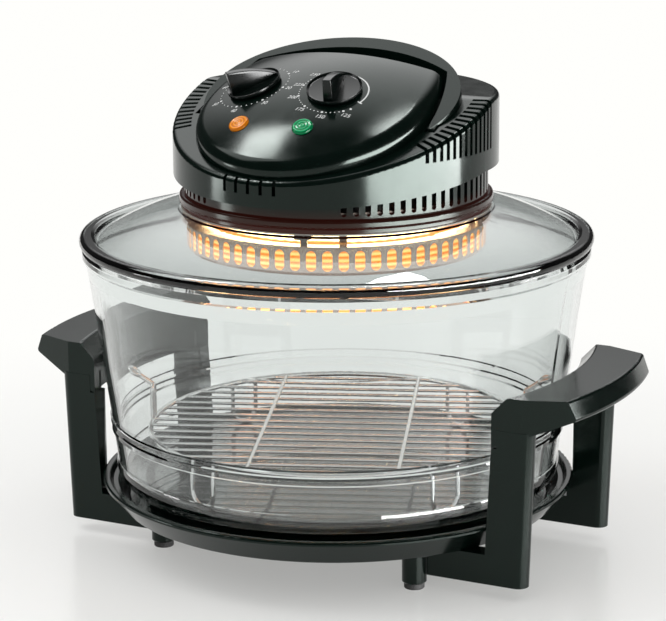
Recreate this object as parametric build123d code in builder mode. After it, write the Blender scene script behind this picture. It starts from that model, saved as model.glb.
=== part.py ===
from build123d import *
import os
from math import atan2, cos, degrees, radians, sin, sqrt

# Countertop halogen oven: a glass bowl in a moulded stand, a glass lid and a domed motor head.
# Millimetres, +Z up. The origin is on the oven's axis at the level of the feet; -Y is the front.

# ---- Stand: tray, feet, L-shaped legs and side handles ----
TIP_H = 4.0                 # rubber tip under each foot
TIP_R = 6.6
FOOT_R = 8.0
FOOT_X, FOOT_Y = 93.3, 75.0
TRAY_Z = 29.0               # underside of the tray
TRAY_FOOT_R = 145.3         # tray radius at its underside
TRAY_LIP_R = 158.2          # tray radius at its lip
TRAY_LIP_Z = 46.5
TRAY_FLOOR = 3.5
TRAY_WALL = 4.2
TRAY_RING_R = 151.5         # inner ledge below the lip
TRAY_RING_Z = 43.0
SEAT_IN_R, SEAT_OUT_R = 124.0, 130.0    # ring that the bowl stands on
LEG_Y = 67.2                # middle of each leg plate
LEG_T = 14.0                # plate thickness
LEG_BOTTOM = 9.5
LEG_BAR_X = 101.5           # inner end of the bar under the tray
LEG_IN_X = 142.0            # inner edge of the upright, at its foot
LEG_OUT_X = 168.9           # outer edge of the upright, at its foot
LEG_LEAN = 2.1              # degrees outwards
LEG_TOP = 99.4              # where the upright's inner corner meets the handle
SCREW_X = 124.0             # screw through each bar into the tray
HANDLE_AXIS_X = 60.0        # the handle's curve is struck from here, across the bowl
HANDLE_IN_X = 158.5         # inner face, at the middle of the handle
HANDLE_BEVEL_X = 168.5
HANDLE_TOP_X = 201.0
HANDLE_TIP_X = 206.0
HANDLE_KNEE_X = 172.0
HANDLE_IN_Z = 99.5
HANDLE_BEVEL_Z = 122.0
HANDLE_TOP_Z = 133.0
HANDLE_TIP_Z = 120.5
HANDLE_KNEE_Z = 105.0
HANDLE_HALF = 74.0          # half the handle's length
HANDLE_CORNER = (166.0, 60.0, 206.0)    # where the cut corner starts, and where it ends

# ---- Glass bowl ----
GLASS = 4.5
BOWL_Z = 43.7               # underside of the bowl, on the tray's seat
BOWL_FOOT_R = 136.0
BOWL_HEEL_R = 148.2
BOWL_HEEL_Z = 60.0
BOWL_BAND_R = 150.4         # double band pressed into the wall
BOWL_BAND_Z = 80.0
BOWL_BAND_OUT = 1.3
BOWL_BAND_H = 11.0
BOWL_MID_R, BOWL_MID_Z = 159.4, 150.0
BOWL_NECK_R, BOWL_NECK_Z = 164.6, 186.0
BOWL_RIM_R = 168.2
BOWL_RIM_Z = 195.5
RIM_Z = 204.0               # joint between bowl and lid

# ---- Glass lid ----
LID_R = 170.0
LID_TOP = 212.0             # top of the lid's rolled rim
LID_LAND_R = 158.5          # inner side of the rolled rim
LID_DISH_Z = 208.6
LID_EYE_R = 98.2            # hole for the head
LID_EYE_LAND = 104.0
LID_EYE_Z = 228.7           # top of the glass around the hole
LID_CROWN = 3.0             # how far the lid's glass bulges over a straight line

# ---- Wire rack ----
HOOP_R = 1.8                # radius of the hoop's wire
WIRE_R = 1.5
BAR_R = 1.1
RACK_R = 126.0
RACK_Z = 78.5
RACK_PITCH = 14.0
RACK_BARS = 17
RACK_CROSS_X = 48.0
RACK_WELD = 0.6             # bars and legs are welded just inside the hoop's centre line
RACK_TURN = 22.0            # the rack stands turned in the bowl, as photographed
RACK_LEG_TURN = 52.0
RACK_LEG_HALF = 9.5
EAR_HALF = 4.0
EAR_Z = 99.0
EAR_EYE_R = 4.2
EAR_REACH = 13.0
EAR_RISE = 8.5

# ---- Lower housing (collar) and the parts under it ----
COLLAR_Z = LID_EYE_Z + 0.8  # a gasket lies between the glass and the collar
COLLAR_R = 100.0
COLLAR_STEP_R = 101.2
COLLAR_BEAD_R = 103.5
COLLAR_BEAD_Z = 232.0
COLLAR_BEAD_TOP = 238.5
COLLAR_TOP = 260.9
COLLAR_LIP = 1.5
COLLAR_WALL = 2.5
COLLAR_FLOOR = 3.0
COLLAR_FLOOR_R = 86.0
SHIELD_Z = 241.0
SHIELD_T = 1.2
SLOT_W = 3.7
SLOT_Z0, SLOT_Z1 = 240.0, 257.5
SLOT_PITCH = 4.42           # degrees
SLOT_START = 30.0           # degrees from the front
SLOT_COUNT = 19             # on each side
BOSS_R = 5.0
BOSS_PCR = 91.0
BOSS_TURN = 45.0
SCREW_R = 2.0
SCREW_HEAD_R = 3.8
SCREW_HEAD_H = 2.6

GUARD_R = 98.0
GUARD_T = 0.9
GUARD_Z0, GUARD_Z1 = 201.6, 219.6
GUARD_FLANGE_R = 101.7
GUARD_FLANGE_IN = 91.0
POST_TURN = 15.0            # degrees from the front
GUARD_SLOTS = 60
GUARD_SLOT_W, GUARD_SLOT_H, GUARD_SLOT_Z = 6.4, 12.3, 210.6
GRILLE_RINGS = ((22.0, 40.0), (44.0, 64.0), (68.0, 91.0))
GRILLE_SPOKES = 10
GRILLE_SPOKE_W = 4.0
POST_R = 2.4
POST_PCR = 94.6
TAB_T = 1.2                 # tab on each post, under the glass

LAMP_R = 83.0
LAMP_TUBE = 5.0
LAMP_Z = 221.4
LAMP_GAP = 22.0             # degrees left open at the rear
CAP_R = 6.2
CAP_L = 13.0
REFLECTOR_R = 90.5
REFLECTOR_T = 0.8
REFLECTOR_RISE = 7.5
REFLECTOR_FLAT_R = 62.0

SHAFT_R = 3.0
RUNNING = 0.05              # radial clearance of a shaft in its bush
SHAFT_Z0, SHAFT_Z1 = 209.0, 277.5
FAN_R = 60.0
FAN_Z = 224.0
FAN_T = 1.2
FAN_BLADES = 10
FAN_BLADE_H = 12.0
COOLER_R = 42.0
COOLER_Z = 246.5
COOLER_BLADES = 9
COOLER_BLADE_H = 6.0
HUB_R = 8.0
ROTOR_R = 12.4
MOTOR_Z0, MOTOR_Z1 = 258.0, 272.0
MOTOR_BORE = 13.0
MOTOR_X, MOTOR_Y = 23.0, 28.0
BRACKET_T = 2.0
BRACKET_W = 22.0
BRACKET_HALF = 47.0         # its uprights stand clear of the cooling fan
BRACKET_FOOT = 10.0
SLIP = 0.3                  # radial clearance of round parts that only drop in

# ---- Upper housing, control panel and their tilted seat ----
DRUM_R = 107.0
DRUM_WALL = 2.5
DRUM_TOP_WALL = 4.5
LEDGE_Z = 304.0             # flat deck at the rear
TILT = 19.5                 # degrees: the front of the drum is cut by a tilted plane
TILT_Z = 299.5              # height of that plane over the axis
TILT_BLEND = 30.0
RIM_FILLET = 3.4
SKIRT_FRONT_Z = 245.5
SKIRT_SIDE_Z = 258.5
LOUVRE_START, LOUVRE_PITCH, LOUVRE_COUNT = 59.5, 3.0, 13    # degrees from the front
LOUVRE_W = 2.8
LOUVRE_IN_R = 94.5
LOUVRE_Z = 272.0
VENT_COUNT, VENT_PITCH, VENT_TURN = 5, 4.9, -3.8            # degrees
VENT_W = 2.4
VENT_Z = 253.5
VENT_IN_R = 103.6
NOSE_R = 78.0               # round front of the panel
NOSE_Y = -30.0
SIDE_R = 157.0              # long side curves of the panel
PANEL_END_Y = 60.0          # the outline is drawn this far back, past the rear wall
CROWN_R = 220.0             # crown of the panel
CROWN_H = 26.0
CROWN_Y = -20.0
PANEL_FILLET = 10.5
PANEL_WALL = 2.5
PANEL_SEAT = 2.0            # depth of the rebate that the panel drops into
PANEL_FIT = 0.5
PANEL_REAR_Y = 10.5
PANEL_REAR_R = 350.0
PANEL_LAND = 4.0
BOSS_DROP = 2.0             # flat seats under the panel, below its inner face
TIMER_AT = (-39.2, -32.3)   # on the tilted plan
THERMO_AT = (20.6, -34.7)
AMBER_AT = (-30.4, -73.5)
GREEN_AT = (15.6, -73.5)

# ---- Controls ----
KNOB_R = 18.0
KNOB_H = 2.8
KNOB_DISH = 1.6
KNOB_RIM = 1.6
KNOB_GAP = 0.6
GRIP_W = 6.6
GRIP_H = 16.5
TIMER_GRIP, THERMO_GRIP = 28.0, -62.0   # degrees
SPINDLE_R = 3.0
SPINDLE_HOLE = 3.6
SPINDLE_L = 22.0
UNIT_SIDE = 34.0
UNIT_H = 16.0
UNIT_DROP = 6.0             # neck between the panel and the unit
NECK_R = 5.5
LENS_R = 6.7
LENS_STEM_R = 5.4
LENS_STEM_L = 9.0
LENS_CAP = 1.6
LENS_SINK = 0.9             # flat seat of a lens, sunk into the crown
NEON_R = 2.8

# ---- Carry handle ----
BAIL_SLOPE = 28.0           # degrees: the folded handle's flat top
BAIL_Y0 = -33.0             # where that top meets the tilted face
BAIL_DEPTH = 16.0
BAIL_BASE = (91.5, 60.0)    # half axes of its outer plan, low down
BAIL_CREST = (84.0, 54.0)   # and at the crest
BAIL_BASE_Z, BAIL_CREST_Z = 285.0, 345.0
BAIL_CENTRE_Y = -5.0
BAIL_GAP = 2.5              # beside the panel
BAIL_LIFT = 0.4             # above the housing
BAIL_CORNER_Y = 22.5
BAIL_ARC_Y = 40.5
HINGE_Y = -24.0
HINGE_DEPTH = 7.0           # below the tilted face
LUG_X0, LUG_X1 = 80.6, 85.4
LUG_R = 5.5
NIB_R = 7.5                 # nib on the right lug, which works the switch
NIB_W = 2.0
BAIL_FRONT_Y = -30.0
PIN_R = 1.9
CHEEK_T = 3.0
POCKET_X0, POCKET_X1 = 79.3, 87.1
POCKET_FRONT, POCKET_REAR = 9.3, 9.0
POCKET_DROP = 10.0          # pocket floor below the hinge
POCKET_FLOOR = 2.5
SWITCH_H = 8.0
SWITCH_L = 20.0
SWITCH_W = 10.0
PLUNGER_R = 1.2
PLUNGER_GAP = 0.3           # left under the nib when the handle is folded
PLUNGER_L = 9.0

# ---- Cord inlet ----
INLET_Z = 281.0
INLET_BORE = 3.6
INLET_R = 7.0
INLET_FLANGE_R = 9.5
INLET_FLANGE_T = 2.0
INLET_FLAT_Y = 105.8        # flat seat cut into the drum

TILT_PLANE = Plane(
    origin=(0, 0, TILT_Z), x_dir=(1, 0, 0), z_dir=(0, -sin(radians(TILT)), cos(radians(TILT)))
)
FAR = 400.0                 # longer than the object, for cuts that run right through


BRACKET_TOP = MOTOR_Z1 + BRACKET_T
TILT_SLOPE = sin(radians(TILT)) / cos(radians(TILT))
BAIL_RISE = sin(radians(BAIL_SLOPE)) / cos(radians(BAIL_SLOPE))


def tilt_z(y):
    """Height of the tilted face at a given y."""
    return TILT_Z + y * TILT_SLOPE


def around(turn, radius, z=0.0):
    """Point at an angle from the front (-Y), counted towards +X."""
    return (radius * sin(radians(turn)), -radius * cos(radians(turn)), z)


def upright_plane(turn, radius, z):
    """Plane facing outwards at an angle from the front."""
    return Plane(
        origin=around(turn, radius, z),
        x_dir=(cos(radians(turn)), sin(radians(turn)), 0),
        z_dir=around(turn, 1.0),
    )


def save(part, name):
    part.label = name
    export_step(part, f"parts/{name}.step")


def ring(outer, inner, z0, z1):
    """Plain round ring or disc."""
    with BuildPart() as made:
        with BuildSketch(Plane.XY.offset(z0)):
            Circle(outer)
            if inner > 0:
                Circle(inner, mode=Mode.SUBTRACT)
        extrude(amount=z1 - z0)
    return made.part


def tilted_top(drop_front, drop_rear):
    """Side view of everything above the drum: a tilted front that blends into a flat rear deck."""
    rise = TILT_Z - drop_front
    crease_z = LEDGE_Z - drop_rear
    crease_y = (crease_z - rise) / TILT_SLOPE
    with BuildSketch() as side_view:
        with BuildLine():
            FilletPolyline(
                (-FAR / 2, rise - FAR / 2 * TILT_SLOPE), (crease_y, crease_z), (FAR / 2, crease_z),
                radius=TILT_BLEND,
            )
            Polyline(
                (FAR / 2, crease_z), (FAR / 2, FAR), (-FAR / 2, FAR),
                (-FAR / 2, rise - FAR / 2 * TILT_SLOPE),
            )
        make_face()
    return side_view.sketch


def drum(radius, z0, drop_front, drop_rear):
    """Drum of the upper housing, cut by its tilted top."""
    with BuildPart() as made:
        with BuildSketch(Plane.XY.offset(z0)):
            Circle(radius)
        extrude(amount=LEDGE_Z - drop_rear - z0)
        with BuildSketch(Plane.YZ):
            add(tilted_top(drop_front, drop_rear))
        extrude(amount=FAR / 2, both=True, mode=Mode.SUBTRACT)
    return made.part


os.makedirs("parts", exist_ok=True)

# ============ Stand ============

# The outside of the tray, also cut out of the legs that carry it.
TRAY_SIDE = ((TRAY_FOOT_R, TRAY_Z), (TRAY_LIP_R, TRAY_LIP_Z - 2.5), (TRAY_LIP_R, TRAY_LIP_Z))

with BuildPart() as base_tray:
    with BuildSketch(Plane.XZ):
        with BuildLine():
            Polyline(
                (0, TRAY_Z),
                *TRAY_SIDE,
                (TRAY_LIP_R - TRAY_WALL, TRAY_LIP_Z),
                (TRAY_RING_R, TRAY_RING_Z),
                (TRAY_RING_R - 3.0, TRAY_RING_Z),
                (TRAY_FOOT_R - 5.0, TRAY_Z + TRAY_FLOOR),
                (SEAT_OUT_R, TRAY_Z + TRAY_FLOOR),
                (SEAT_OUT_R, BOWL_Z),
                (SEAT_IN_R, BOWL_Z),
                (SEAT_IN_R, TRAY_Z + TRAY_FLOOR),
                (0, TRAY_Z + TRAY_FLOOR),
                close=True,
            )
        make_face()
    revolve(axis=Axis.Z)
    lip = base_tray.edges().filter_by(GeomType.CIRCLE).filter_by_position(
        Axis.Z, TRAY_LIP_Z - 0.01, TRAY_LIP_Z + 0.01
    )
    fillet(lip, 1.4)
    fillet(base_tray.faces().sort_by(Axis.Z)[0].edges(), 2.0)
    with Locations(
        *[(sx * SCREW_X, sy * LEG_Y, TRAY_Z) for sx in (1, -1) for sy in (1, -1)]
    ):
        Cylinder(SCREW_R, 2 * (TRAY_FLOOR - 0.8), mode=Mode.SUBTRACT)
save(base_tray.part, "base_tray")

# Cutter for what the legs give way to: the tray's outside.
with BuildPart() as tray_room:
    with BuildSketch(Plane.XZ):
        with BuildLine():
            Polyline((0, TRAY_Z), *TRAY_SIDE, (TRAY_LIP_R, FAR / 2), (0, FAR / 2), close=True)
        make_face()
    revolve(axis=Axis.Z)


def side_handle(sign):
    """Curved wedge-section handle that bridges the two legs of one side."""
    with BuildPart() as made:
        with BuildSketch(Plane.XZ):
            with BuildLine():
                Polyline(
                    (sign * HANDLE_IN_X, HANDLE_IN_Z),
                    (sign * HANDLE_KNEE_X, HANDLE_KNEE_Z),
                    (sign * HANDLE_TIP_X, HANDLE_TIP_Z),
                    (sign * HANDLE_TOP_X, HANDLE_TOP_Z),
                    (sign * HANDLE_BEVEL_X, HANDLE_TOP_Z),
                    (sign * HANDLE_IN_X, HANDLE_BEVEL_Z),
                    close=True,
                )
            make_face()
        half_turn = degrees(atan2(HANDLE_HALF + 12.0, HANDLE_IN_X + HANDLE_AXIS_X))
        pivot = Axis((-sign * HANDLE_AXIS_X, 0, 0), (0, 0, 1))
        revolve(axis=pivot, revolution_arc=half_turn)
        mirror(about=Plane.XZ)
        long_edges = made.edges().filter_by(
            lambda e: e.length > HANDLE_HALF and e.center().Z > HANDLE_TIP_Z - 1
            and abs(e.center().X) > HANDLE_BEVEL_X - 4
        )
        fillet(long_edges, 2.2)
        start_x, end_y, end_x = HANDLE_CORNER
        with BuildSketch(Plane.XY):
            with BuildLine():
                Polyline(
                    (sign * 100.0, HANDLE_HALF),
                    (sign * start_x, HANDLE_HALF),
                    (sign * end_x, end_y),
                    (sign * (end_x + 20.0), end_y),
                    (sign * (end_x + 20.0), -end_y),
                    (sign * end_x, -end_y),
                    (sign * start_x, -HANDLE_HALF),
                    (sign * 100.0, -HANDLE_HALF),
                    close=True,
                )
            make_face()
        extrude(amount=FAR, mode=Mode.INTERSECT)
    return made.part


handles = {"left": side_handle(-1), "right": side_handle(1)}
for side, solid in handles.items():
    save(solid, f"side_handle_{side}")


def leg(x_sign, y_sign):
    """L-shaped plate: a bar under the tray and an upright that carries the side handle."""
    lean = (LEG_TOP + 12.0 - LEG_BOTTOM) * sin(radians(LEG_LEAN))
    side = "left" if x_sign < 0 else "right"
    with BuildPart() as made:
        with BuildSketch(Plane.XZ.offset(-y_sign * LEG_Y)):
            with BuildLine():
                Polyline(
                    (x_sign * LEG_BAR_X, LEG_BOTTOM),
                    (x_sign * LEG_OUT_X, LEG_BOTTOM),
                    (x_sign * (LEG_OUT_X + lean), LEG_TOP + 12.0),
                    (x_sign * (LEG_IN_X + lean + 3.5), LEG_TOP + 12.0),
                    (x_sign * (LEG_IN_X + lean + 3.5), LEG_TOP),
                    (x_sign * (LEG_IN_X + lean), LEG_TOP),
                    (x_sign * LEG_IN_X, TRAY_Z),
                    (x_sign * LEG_BAR_X, TRAY_Z),
                    close=True,
                )
            make_face()
        extrude(amount=LEG_T / 2, both=True)
        outer = made.faces().sort_by(Axis.X)[-1 if x_sign > 0 else 0]
        long_edges = outer.edges().filter_by(lambda e: e.length > LEG_TOP - LEG_BOTTOM)
        fillet(long_edges, LEG_T / 2 - 0.2)
        add(tray_room.part, mode=Mode.SUBTRACT)
        add(handles[side], mode=Mode.SUBTRACT)
        with Locations((x_sign * SCREW_X, y_sign * LEG_Y, LEG_BOTTOM)):
            Cylinder(SCREW_R, FAR / 4, mode=Mode.SUBTRACT)
            Cylinder(SCREW_HEAD_R, 16.0, mode=Mode.SUBTRACT)
    return made.part


for x_sign, side in ((-1, "left"), (1, "right")):
    for y_sign, end in ((-1, "front"), (1, "rear")):
        save(leg(x_sign, y_sign), f"leg_{end}_{side}")

foot_spots = [(sx * FOOT_X, sy * FOOT_Y) for sx in (1, -1) for sy in (1, -1)]

with BuildPart() as feet:
    with BuildSketch(Plane.XY.offset(TIP_H)):
        with Locations(*foot_spots):
            Circle(FOOT_R)
    extrude(amount=TRAY_Z - TIP_H)
    chamfer(feet.edges().group_by(Axis.Z)[0], 0.8)
save(feet.part, "feet")

with BuildPart() as foot_tips:
    with BuildSketch():
        with Locations(*foot_spots):
            Circle(TIP_R)
    extrude(amount=TIP_H)
    fillet(foot_tips.edges().group_by(Axis.Z)[0], 0.8)
save(foot_tips.part, "foot_tips")

with BuildPart() as leg_screws:
    head_z = LEG_BOTTOM + 8.0 - SCREW_HEAD_H
    for x_sign, y_sign in ((1, 1), (1, -1), (-1, 1), (-1, -1)):
        with BuildSketch(Plane.XY.offset(head_z)):
            with Locations((x_sign * SCREW_X, y_sign * LEG_Y)):
                Circle(SCREW_HEAD_R - 0.3)
        extrude(amount=SCREW_HEAD_H)
        with BuildSketch(Plane.XY.offset(head_z)):
            with Locations((x_sign * SCREW_X, y_sign * LEG_Y)):
                Circle(SCREW_R)
        extrude(amount=TRAY_Z + TRAY_FLOOR - 1.0 - head_z)
save(leg_screws.part, "leg_screws")

# ============ Glass bowl ============


def bowl_side(inset):
    """Bowl's profile from its foot to under its rim, drawn in by the glass thickness."""
    band_r = BOWL_BAND_R - inset
    return [
        (BOWL_HEEL_R - inset, BOWL_HEEL_Z),
        (band_r, BOWL_BAND_Z),
    ], [
        (band_r + 1.4, BOWL_BAND_Z + BOWL_BAND_H),
        (BOWL_MID_R - inset, BOWL_MID_Z),
        (BOWL_NECK_R - inset, BOWL_NECK_Z),
    ]


with BuildPart() as glass_bowl:
    low, high = bowl_side(0.0)
    low_in, high_in = bowl_side(GLASS)
    with BuildSketch(Plane.XZ):
        with BuildLine():
            Line((0, BOWL_Z), (BOWL_FOOT_R, BOWL_Z))
            TangentArc((BOWL_FOOT_R, BOWL_Z), low[0], tangent=(1, 0))
            Polyline(
                *low,
                (low[1][0] + BOWL_BAND_OUT, BOWL_BAND_Z + 1.2),
                (low[1][0] + BOWL_BAND_OUT, BOWL_BAND_Z + 4.0),
                (low[1][0] + 0.7, BOWL_BAND_Z + BOWL_BAND_H / 2),
                (high[0][0] + 0.6, BOWL_BAND_Z + BOWL_BAND_H - 4.0),
                (high[0][0] + 0.6, BOWL_BAND_Z + BOWL_BAND_H - 1.2),
                *high[:2],
            )
            TangentArc(high[1], high[2], tangent=(high[1][0] - high[0][0], high[1][1] - high[0][1]))
            Polyline(
                high[2],
                (BOWL_RIM_R - 2.0, BOWL_RIM_Z),
                (BOWL_RIM_R, BOWL_RIM_Z + 2.0),
                (BOWL_RIM_R, RIM_Z - 2.0),
                (BOWL_RIM_R - 1.6, RIM_Z),
                (BOWL_NECK_R - GLASS + 1.0, RIM_Z),
                high_in[2],
            )
            TangentArc(
                high_in[1], high_in[2],
                tangent=(high_in[1][0] - high_in[0][0], high_in[1][1] - high_in[0][1]),
            )
            Polyline(high_in[1], high_in[0], low_in[1], low_in[0])
            TangentArc((BOWL_FOOT_R - 1.0, BOWL_Z + GLASS), low_in[0], tangent=(1, 0))
            Polyline((BOWL_FOOT_R - 1.0, BOWL_Z + GLASS), (0, BOWL_Z + GLASS), (0, BOWL_Z))
        make_face()
    revolve(axis=Axis.Z)
save(glass_bowl.part, "glass_bowl")

# ============ Wire rack ============

FLOOR_Z = BOWL_Z + GLASS

with BuildPart() as wire_rack:
    # a hoop of ten flats: the bars fuse to it cleanly, and at this size it reads as round wire
    with BuildSketch(Plane.XZ):
        with Locations((RACK_R, RACK_Z)):
            RegularPolygon(HOOP_R, 10)
    revolve(axis=Axis.Z)
    weld_r = RACK_R - RACK_WELD
    for row in range(RACK_BARS):
        bar_y = (row - (RACK_BARS - 1) / 2) * RACK_PITCH
        half = sqrt(weld_r**2 - bar_y**2)
        with BuildSketch(Plane.YZ.offset(-half)):
            with Locations((bar_y, RACK_Z)):
                Circle(BAR_R)
        extrude(amount=2 * half)
    for bar_x in (-RACK_CROSS_X, RACK_CROSS_X):
        half = sqrt(weld_r**2 - bar_x**2)
        with BuildSketch(Plane.XZ.offset(-half)):
            with Locations((bar_x, RACK_Z)):
                Circle(WIRE_R)
        extrude(amount=2 * half)
    leg_r = sqrt(weld_r**2 - RACK_LEG_HALF**2)
    bend_z = FLOOR_Z + WIRE_R + RACK_LEG_HALF
    for turn in (RACK_LEG_TURN, -RACK_LEG_TURN, 180 - RACK_LEG_TURN, 180 + RACK_LEG_TURN):
        side = upright_plane(90 + turn, leg_r, 0)
        with BuildLine(side) as loop:
            Line((-RACK_LEG_HALF, RACK_Z), (-RACK_LEG_HALF, bend_z))
            ThreePointArc(
                (-RACK_LEG_HALF, bend_z), (0, FLOOR_Z + WIRE_R), (RACK_LEG_HALF, bend_z)
            )
            Line((RACK_LEG_HALF, bend_z), (RACK_LEG_HALF, RACK_Z))
        with BuildSketch(Plane(origin=loop.line @ 0, z_dir=loop.line % 0)):
            Circle(WIRE_R)
        sweep(path=loop.line)
wire_rack.part = wire_rack.part.rotate(Axis.Z, RACK_TURN)
save(wire_rack.part, "wire_rack")

with BuildPart() as rack_ears:
    # each lifting ear stands on the flat top of the hoop
    ear_r = sqrt(RACK_R**2 - EAR_HALF**2)
    foot_z = RACK_Z + HOOP_R * sin(radians(72))
    for turn in (0, 180):
        side = upright_plane(90 + turn, ear_r, 0)
        with BuildLine(side) as bail:
            Line((-EAR_HALF, foot_z), (-EAR_HALF, EAR_Z))
            ThreePointArc((-EAR_HALF, EAR_Z), (0, EAR_Z + EAR_HALF), (EAR_HALF, EAR_Z))
            Line((EAR_HALF, EAR_Z), (EAR_HALF, foot_z))
        with BuildSketch(Plane(origin=bail.line @ 0, z_dir=bail.line % 0)):
            Circle(WIRE_R)
        sweep(path=bail.line)
        root = side.from_local_coords((0, EAR_Z + EAR_HALF, 0))
        reach = side.from_local_coords((0, EAR_Z + EAR_HALF + EAR_RISE, EAR_REACH))
        stem = Plane(origin=root, z_dir=reach - root)
        with BuildSketch(stem):
            Circle(1.2 * WIRE_R)
        extrude(amount=(reach - root).length - EAR_EYE_R)
        with Locations(Plane(origin=reach, z_dir=side.x_dir.cross(reach - root))):
            Torus(EAR_EYE_R, WIRE_R)
rack_ears.part = rack_ears.part.rotate(Axis.Z, RACK_TURN)
save(rack_ears.part, "rack_ears")

# ============ Glass lid ============

with BuildPart() as glass_lid:
    dish_mid = ((LID_LAND_R + LID_EYE_LAND) / 2, (LID_DISH_Z + LID_EYE_Z) / 2 + LID_CROWN)
    with BuildSketch(Plane.XZ):
        with BuildLine():
            Polyline(
                (LID_LAND_R, LID_DISH_Z),
                (LID_LAND_R + 1.5, LID_TOP - 1.0),
                (LID_LAND_R + 3.5, LID_TOP),
                (LID_R - 3.2, LID_TOP),
            )
            ThreePointArc(
                (LID_R - 3.2, LID_TOP),
                (LID_R, (LID_TOP + RIM_Z) / 2),
                (LID_R - 3.2, RIM_Z),
            )
            Polyline((LID_R - 3.2, RIM_Z), (LID_LAND_R, RIM_Z))
            ThreePointArc(
                (LID_LAND_R, RIM_Z),
                (dish_mid[0], dish_mid[1] - GLASS),
                (LID_EYE_LAND, LID_EYE_Z - GLASS),
            )
            Polyline(
                (LID_EYE_LAND, LID_EYE_Z - GLASS),
                (LID_EYE_R, LID_EYE_Z - GLASS),
                (LID_EYE_R, LID_EYE_Z),
                (LID_EYE_LAND, LID_EYE_Z),
            )
            ThreePointArc((LID_EYE_LAND, LID_EYE_Z), dish_mid, (LID_LAND_R, LID_DISH_Z))
        make_face()
    revolve(axis=Axis.Z)
save(glass_lid.part, "glass_lid")

lid_gasket = ring(LID_EYE_LAND - 1.6, LID_EYE_R, LID_EYE_Z, COLLAR_Z)
save(lid_gasket, "lid_gasket")

# ============ Lower housing, guard, lamp and fans ============

boss_turns = [BOSS_TURN + 90 * step for step in range(4)]
boss_spots = [around(turn, BOSS_PCR)[:2] for turn in boss_turns]

with BuildPart() as lower_housing:
    inner_r = COLLAR_R - COLLAR_WALL
    with BuildSketch(Plane.XZ):
        with BuildLine():
            Polyline(
                (COLLAR_FLOOR_R, COLLAR_Z),
                (COLLAR_STEP_R, COLLAR_Z),
                (COLLAR_STEP_R, COLLAR_BEAD_Z),
                (COLLAR_BEAD_R, COLLAR_BEAD_Z),
                (COLLAR_BEAD_R, COLLAR_BEAD_TOP),
                (COLLAR_R, COLLAR_BEAD_TOP),
                (COLLAR_R, COLLAR_TOP - COLLAR_LIP),
                (DRUM_R - DRUM_WALL - SLIP, COLLAR_TOP - COLLAR_LIP),
                (DRUM_R - DRUM_WALL - SLIP, COLLAR_TOP),
                (inner_r, COLLAR_TOP),
                (inner_r, SHIELD_Z),
                (inner_r - 2.5, SHIELD_Z),
                (inner_r - 2.5, COLLAR_Z + COLLAR_FLOOR),
                (COLLAR_FLOOR_R, COLLAR_Z + COLLAR_FLOOR),
                close=True,
            )
        make_face()
    revolve(axis=Axis.Z)
    bead = lower_housing.edges().filter_by(
        lambda e: abs(e.radius - COLLAR_BEAD_R) < 0.01 if e.geom_type == GeomType.CIRCLE else False
    )
    fillet(bead, 2.0)
    with BuildSketch(Plane.XY.offset(COLLAR_Z)):
        with Locations(*boss_spots):
            Circle(BOSS_R)
    extrude(amount=COLLAR_TOP - COLLAR_Z)
    with Locations(*[(x, y, COLLAR_Z) for x, y in boss_spots]):
        Cylinder(SCREW_R, FAR / 2, mode=Mode.SUBTRACT)
        Cylinder(SCREW_HEAD_R, 2 * (SCREW_HEAD_H + 1.0), mode=Mode.SUBTRACT)
    slot_turns = [SLOT_START + SLOT_PITCH * step for step in range(SLOT_COUNT)]
    slot_mid = (SLOT_Z0 + SLOT_Z1) / 2
    for side in (1, -1):
        planes = [upright_plane(side * turn, COLLAR_R, slot_mid) for turn in slot_turns]
        with BuildSketch(*planes):
            SlotOverall(SLOT_Z1 - SLOT_Z0, SLOT_W, rotation=90)
        extrude(amount=COLLAR_WALL + 1.0, both=True, mode=Mode.SUBTRACT)
    # its rim gives way to the tilted top of the upper housing
    rim_room = drum(DRUM_R, COLLAR_Z, DRUM_TOP_WALL + SLIP, DRUM_WALL + SLIP)
    add(rim_room, mode=Mode.INTERSECT)
save(lower_housing.part, "lower_housing")

with BuildPart() as lamp_guard:
    with BuildSketch(Plane.XZ):
        with BuildLine():
            Polyline(
                (0, GUARD_Z0),
                (GUARD_R - 2.0, GUARD_Z0),
                (GUARD_R, GUARD_Z0 + 2.0),
                (GUARD_R, GUARD_Z1 - GUARD_T),
                (GUARD_FLANGE_R, GUARD_Z1 - GUARD_T),
                (GUARD_FLANGE_R, GUARD_Z1),
                (GUARD_FLANGE_IN, GUARD_Z1),
                (GUARD_FLANGE_IN, GUARD_Z1 - GUARD_T),
                (GUARD_R - GUARD_T, GUARD_Z1 - GUARD_T),
                (GUARD_R - GUARD_T, GUARD_Z0 + 2.4),
                (GUARD_R - 2.4, GUARD_Z0 + GUARD_T),
                (0, GUARD_Z0 + GUARD_T),
                close=True,
            )
        make_face()
    revolve(axis=Axis.Z)
    slot_step = 360.0 / GUARD_SLOTS
    planes = [upright_plane(slot_step * step, GUARD_R, GUARD_SLOT_Z) for step in range(GUARD_SLOTS)]
    with BuildSketch(*planes):
        SlotOverall(GUARD_SLOT_H, GUARD_SLOT_W, rotation=90)
    extrude(amount=2 * GUARD_T, both=True, mode=Mode.SUBTRACT)
    for inner, outer in GRILLE_RINGS:
        with BuildSketch(Plane.XY.offset(GUARD_Z0)):
            Circle(outer)
            Circle(inner, mode=Mode.SUBTRACT)
            with PolarLocations(0, GRILLE_SPOKES):
                with Locations((outer / 2, 0)):
                    Rectangle(outer, GRILLE_SPOKE_W, mode=Mode.SUBTRACT)
        extrude(amount=2.0, both=True, mode=Mode.SUBTRACT)
save(lamp_guard.part, "lamp_guard")

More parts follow.
